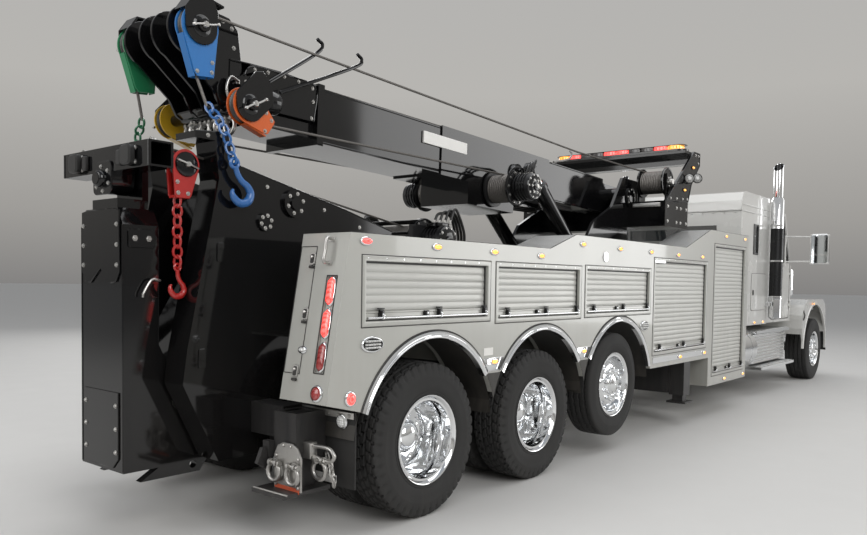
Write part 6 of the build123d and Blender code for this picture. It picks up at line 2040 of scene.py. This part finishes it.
def door_parts():
    """Outline seams, window surrounds, handles and the mirrors' shells and glass."""
    outline = [(8.44, 1.09), (8.44, 2.69), (9.01, 2.69), (9.39, 1.945), (9.39, 1.09), (8.44, 1.09)]
    pane = [(8.5, 1.98), (8.5, 2.63), (8.96, 2.63), (9.3, 1.99), (9.29, 1.98), (8.5, 1.98)]
    seams, grips, shells, mirrors = [Pile() for _ in range(4)]
    for path, r in ((outline, 0.0035), (pane, 0.009)):
        seams += bead([at(px, 1.061, pz) for px, pz in path], r)
    grips += side_plate(rounded(0.19, 0.055, 0.02, 6), 0.006, 0.002, 8.56, 1.06, 1.875)
    grips += tube(
        [at(8.49, 1.064, 1.875), at(8.5, 1.09, 1.875), at(8.62, 1.09, 1.875), at(8.63, 1.064, 1.875)], 0.009,
        12, 10,
    )
    head = rounded(0.268, 0.468, 0.04, 6)
    shells += plate(head, 0.09, 0.016, at(9.046, 1.57, 2.18), ACROSS, SIDE_V, [1, 0, 0])
    mirrors += plate(
        rounded(0.23, 0.29, 0.025, 6), 0.003, 0.001, at(9.0455, 1.57, 2.25), ACROSS, SIDE_V, [-1, 0, 0],
    )
    mirrors += plate(
        rounded(0.23, 0.11, 0.025, 6), 0.003, 0.001, at(9.0455, 1.57, 2.02), ACROSS, SIDE_V, [-1, 0, 0],
    )
    glass = finish("Mirror glass", (0.75, 0.78, 0.8), 0.04, metal=1.0, dust=0.0)
    per_side("door", "door_body", (
        ("seams", seams, hose_rubber()), ("handle", grips, chrome()), ("mirror_shell", shells, chrome()),
        ("mirror_glass", mirrors, glass),
    ))


class TOWTRUCK_OT_cab(bpy.types.Operator):
    """Stacks, tanks, step boxes, seams, handles, mirrors, lamps, grille and air cleaners of cab and hood"""

    bl_idname = "towtruck.cab"
    bl_label = "Cab and hood"

    def execute(self, context):
        cab_parts()
        hood_parts()
        door_parts()
        return {"FINISHED"}


def wound(centre, half, r, pitch=0.0212):
    """Rope laid side by side on a drum, radius = r + 7 mm |cos(pi y / pitch)|."""
    t = np.linspace(-half, half, int(half / pitch) * 16 + 1)
    turns = [(r + 0.007 * abs(np.cos(a * np.pi / pitch)), a) for a in t]
    return lathe([(r - 0.02, -half)] + turns + [(r - 0.02, half)], centre, ACROSS, 56)


# Radius and height of the stepped cover on the end of a winch's gearbox
GEARBOX_CAP = (
    (0, 0.034), (0.034, 0.034), (0.04, 0.028), (0.04, 0.018), (0.082, 0.016), (0.092, 0.01), (0.112, 0.008),
    (0.119, 0.0),
)


def boom_winches():
    """Rope, rims, ribbed gearboxes, bolts and hoses of the boom's two winches."""
    # Centre along and above the boom's line
    x, z = 2.52, -0.24
    coils, rims, bright, hoses = [Pile() for _ in range(4)]
    coils += wound(on_boom(x, 0.427, z), 0.114, 0.124)
    centre = on_boom(x, 0.56, z)
    rims += lathe(
        [(0.15, -0.016), (0.15, 0.004), (0.16, 0.008), (0.169, 0.003), (0.169, -0.016)], centre, ACROSS, 56,
    )
    rims += lathe(GEARBOX_CAP, on_boom(x, 0.75, z), ACROSS, 48)
    for y in (0.585, 0.615, 0.645, 0.675, 0.705):
        rims += lathe(
            [(0.119, -0.007), (0.127, -0.005), (0.127, 0.005), (0.119, 0.007)], on_boom(x, y, z), ACROSS, 48,
        )
    bright += bolts(circle(on_boom, x, 0.562, z, 0.138, ring(10)), ACROSS, 0.01, 0.009)
    bright += bolts(circle(on_boom, x, 0.758, z, 0.102, ring(10)), ACROSS, 0.008, 0.007)
    bright += bolts(circle(on_boom, x, 0.767, z, 0.06, ring(6)), ACROSS, 0.009, 0.008)
    bright += lathe(
        [(0, 0.046), (0.016, 0.045), (0.02, 0.036), (0.02, 0.03)], on_boom(x, 0.75, z), ACROSS, 20,
    )
    rims += tube(circle(on_boom, x, 0.575, z, 0.19, np.radians(np.linspace(-50, 130, 9))), 0.009, 32, 8)
    for k in range(3):
        dy = 0.036 * k
        hoses.add(*tube([
            on_boom(x - 0.05, 0.61 + dy, z + 0.11), on_boom(x - 0.13, 0.6 + dy, z + 0.22 + 0.02 * k),
            on_boom(x - 0.27, 0.5 + dy, z + 0.25), on_boom(x - 0.36, 0.38 + dy, z + 0.14),
            on_boom(x - 0.4, 0.3, z + 0.04),
        ], 0.0115, 24, 8))
        bright += lathe(
            [(0, -0.02), (0.016, -0.02), (0.016, 0.02), (0, 0.02)], on_boom(x - 0.05, 0.61 + dy, z + 0.12),
            BOOM_V, 6,
        )
    for pz, py in ((-0.214, 0.3), (-0.232, 0.318), (-0.25, 0.336)):
        hoses += tube(
            [
                on_boom(0.9, py * 0.7, pz), on_boom(1.6, py * 0.8, pz - 0.02),
                on_boom(2.15, py * 0.8, pz - 0.01),
            ],
            0.01, 10, 8,
        )
    bright += tube(
        [
            on_boom(1.42, 0.285, 0.205), on_boom(1.12, 0.29, 0.285), on_boom(1.05, 0.29, 0.35),
            on_boom(1.09, 0.29, 0.38),
        ],
        0.011, 14, 8,
    )
    mirrored_pieces("boom_outer", (
        (coils, "boom_winch_rope", rope_steel(), 40),
        (rims, "boom_winch_rims", gloss_black(), 40),
        (bright, "boom_winch_bolts", plated_steel(), 40),
        (hoses, "boom_winch_hoses", hose_rubber(), 40),
    ))


def deck_winch():
    """Rope, ribbed gearboxes, tie bars, bolts and hoses of the deck's winch."""
    x, z = 1.05, 1.93
    coil, case, fit, lines = [Pile() for _ in range(4)]
    coil += wound(at(x, 0, z), 0.278, 0.132)
    case += lathe(GEARBOX_CAP, at(x, 0.56, z), ACROSS, 48)
    case += lathe(
        [(0.176, 0.0), (0.176, 0.006), (0.186, 0.008), (0.194, 0.003), (0.194, -0.03)], at(x, 0.31, z),
        ACROSS, 56,
    )
    for y in (0.375, 0.41, 0.445, 0.48, 0.515):
        case += lathe(
            [(0.119, -0.008), (0.128, -0.006), (0.128, 0.006), (0.119, 0.008)], at(x, y, z), ACROSS, 48,
        )
    for a in np.radians((20, 70, 110, 160)):
        case += tube([circle(at, x, y, z, 0.178, [a])[0] for y in (-0.29, 0.29)], 0.013, 2, 10)
    fit += bolts(circle(at, x, 0.568, z, 0.102, ring(10)), ACROSS, 0.009, 0.008)
    fit += bolts(circle(at, x, 0.311, z, 0.165, ring(12)), ACROSS, 0.009, 0.008)
    case += slab(at(x, 0.455, 2.062), (0.15, 0.13, 0.035), 0.006)
    for k in range(4):
        y0 = 0.41 + 0.033 * k
        path = [
            at(x + 0.03 * k, y0, 2.075), at(1.1 + 0.03 * k, y0 + 0.01, 2.16 + 0.012 * k),
            at(1.24, y0 + 0.02, 2.15), at(1.33, y0 + 0.01, 2.0), at(1.36, y0 - 0.02, 1.86),
        ]
        lines += tube(path, 0.012, 24, 8)
        fit += lathe(
            [(0, -0.018), (0.017, -0.018), (0.017, 0.018), (0, 0.018)], at(x + 0.03 * k, y0, 2.088),
            (0, 0, 1), 6,
        )
    for pile in (case, fit, lines):
        pile.mirrored()
    coil.piece("deck_winch_coil", rope_steel(), "chassis", 40)
    case.piece("deck_winch_case", gloss_black(), "chassis", 40)
    fit.piece("deck_winch_bolts", plated_steel(), "chassis", 40)
    lines.piece("deck_winch_hoses", hose_rubber(), "chassis", 40)


def lift_cylinder_ends():
    """Glands on the barrels and caps on the rods' eyes."""
    gland = Pile()
    along = np.array([-0.762, 0, 0.6475])
    gland += lathe(
        [(0.076, -0.06), (0.086, -0.055), (0.086, -0.004), (0.082, 0.0), (0.06, 0.004), (0.058, 0.004)],
        at(3.93, 0.372, 1.57) + 1.556 * along, along, 40,
    )
    gland.mirrored().piece("lift_cylinder_glands", gloss_black(), "lift_cylinder_barrels", 40)
    eye = Pile()
    eye += lathe(
        [
            (0, 0.072), (0.038, 0.072), (0.045, 0.066), (0.045, 0.04), (0.084, 0.038), (0.088, 0.034),
            (0.088, 0.01),
        ],
        at(2.6, 0.372, 2.7), ACROSS, 40,
    )
    eye.mirrored().piece("lift_cylinder_eye_caps", gloss_black(), "lift_cylinder_rods", 40)


class TOWTRUCK_OT_winches(bpy.types.Operator):
    """Rope, rims, ribs, bolts and hoses of the boom's and the deck's winches, and the cylinders' glands"""

    bl_idname = "towtruck.winches"
    bl_label = "Winches and hoses"

    def execute(self, context):
        boom_winches()
        deck_winch()
        lift_cylinder_ends()
        return {"FINISHED"}


OPERATORS = (
    TOWTRUCK_OT_stage, TOWTRUCK_OT_finishes, TOWTRUCK_OT_wheels, TOWTRUCK_OT_lockers, TOWTRUCK_OT_boom_head,
    TOWTRUCK_OT_tail, TOWTRUCK_OT_underlift, TOWTRUCK_OT_turret, TOWTRUCK_OT_cab, TOWTRUCK_OT_winches,
)


class TOWTRUCK_PT_panel(bpy.types.Panel):
    """Settings and build steps of the tow truck's looks"""

    bl_idname = "TOWTRUCK_PT_panel"
    bl_label = "Tow truck"
    bl_space_type = "VIEW_3D"
    bl_region_type = "UI"
    bl_category = "Tow truck"

    def draw(self, context):
        for group in (context.scene.tow_paint, context.scene.tow_wheels, context.scene.tow_lamps):
            box = self.layout.box()
            for name in group.__annotations__:
                box.prop(group, name)
        for operator in OPERATORS:
            self.layout.operator(operator.bl_idname)


CLASSES = (TowTruckPaint, TowTruckWheels, TowTruckLamps, *OPERATORS, TOWTRUCK_PT_panel)


def register():
    for cls in CLASSES:
        bpy.utils.register_class(cls)
    bpy.types.Scene.tow_paint = bpy.props.PointerProperty(type=TowTruckPaint)
    bpy.types.Scene.tow_wheels = bpy.props.PointerProperty(type=TowTruckWheels)
    bpy.types.Scene.tow_lamps = bpy.props.PointerProperty(type=TowTruckLamps)


def unregister():
    del bpy.types.Scene.tow_paint, bpy.types.Scene.tow_wheels, bpy.types.Scene.tow_lamps
    for cls in reversed(CLASSES):
        bpy.utils.unregister_class(cls)


def main():
    register()
    for operator in OPERATORS:
        group, name = operator.bl_idname.split(".")
        getattr(getattr(bpy.ops, group), name)()


if __name__ == "__main__":
    main()
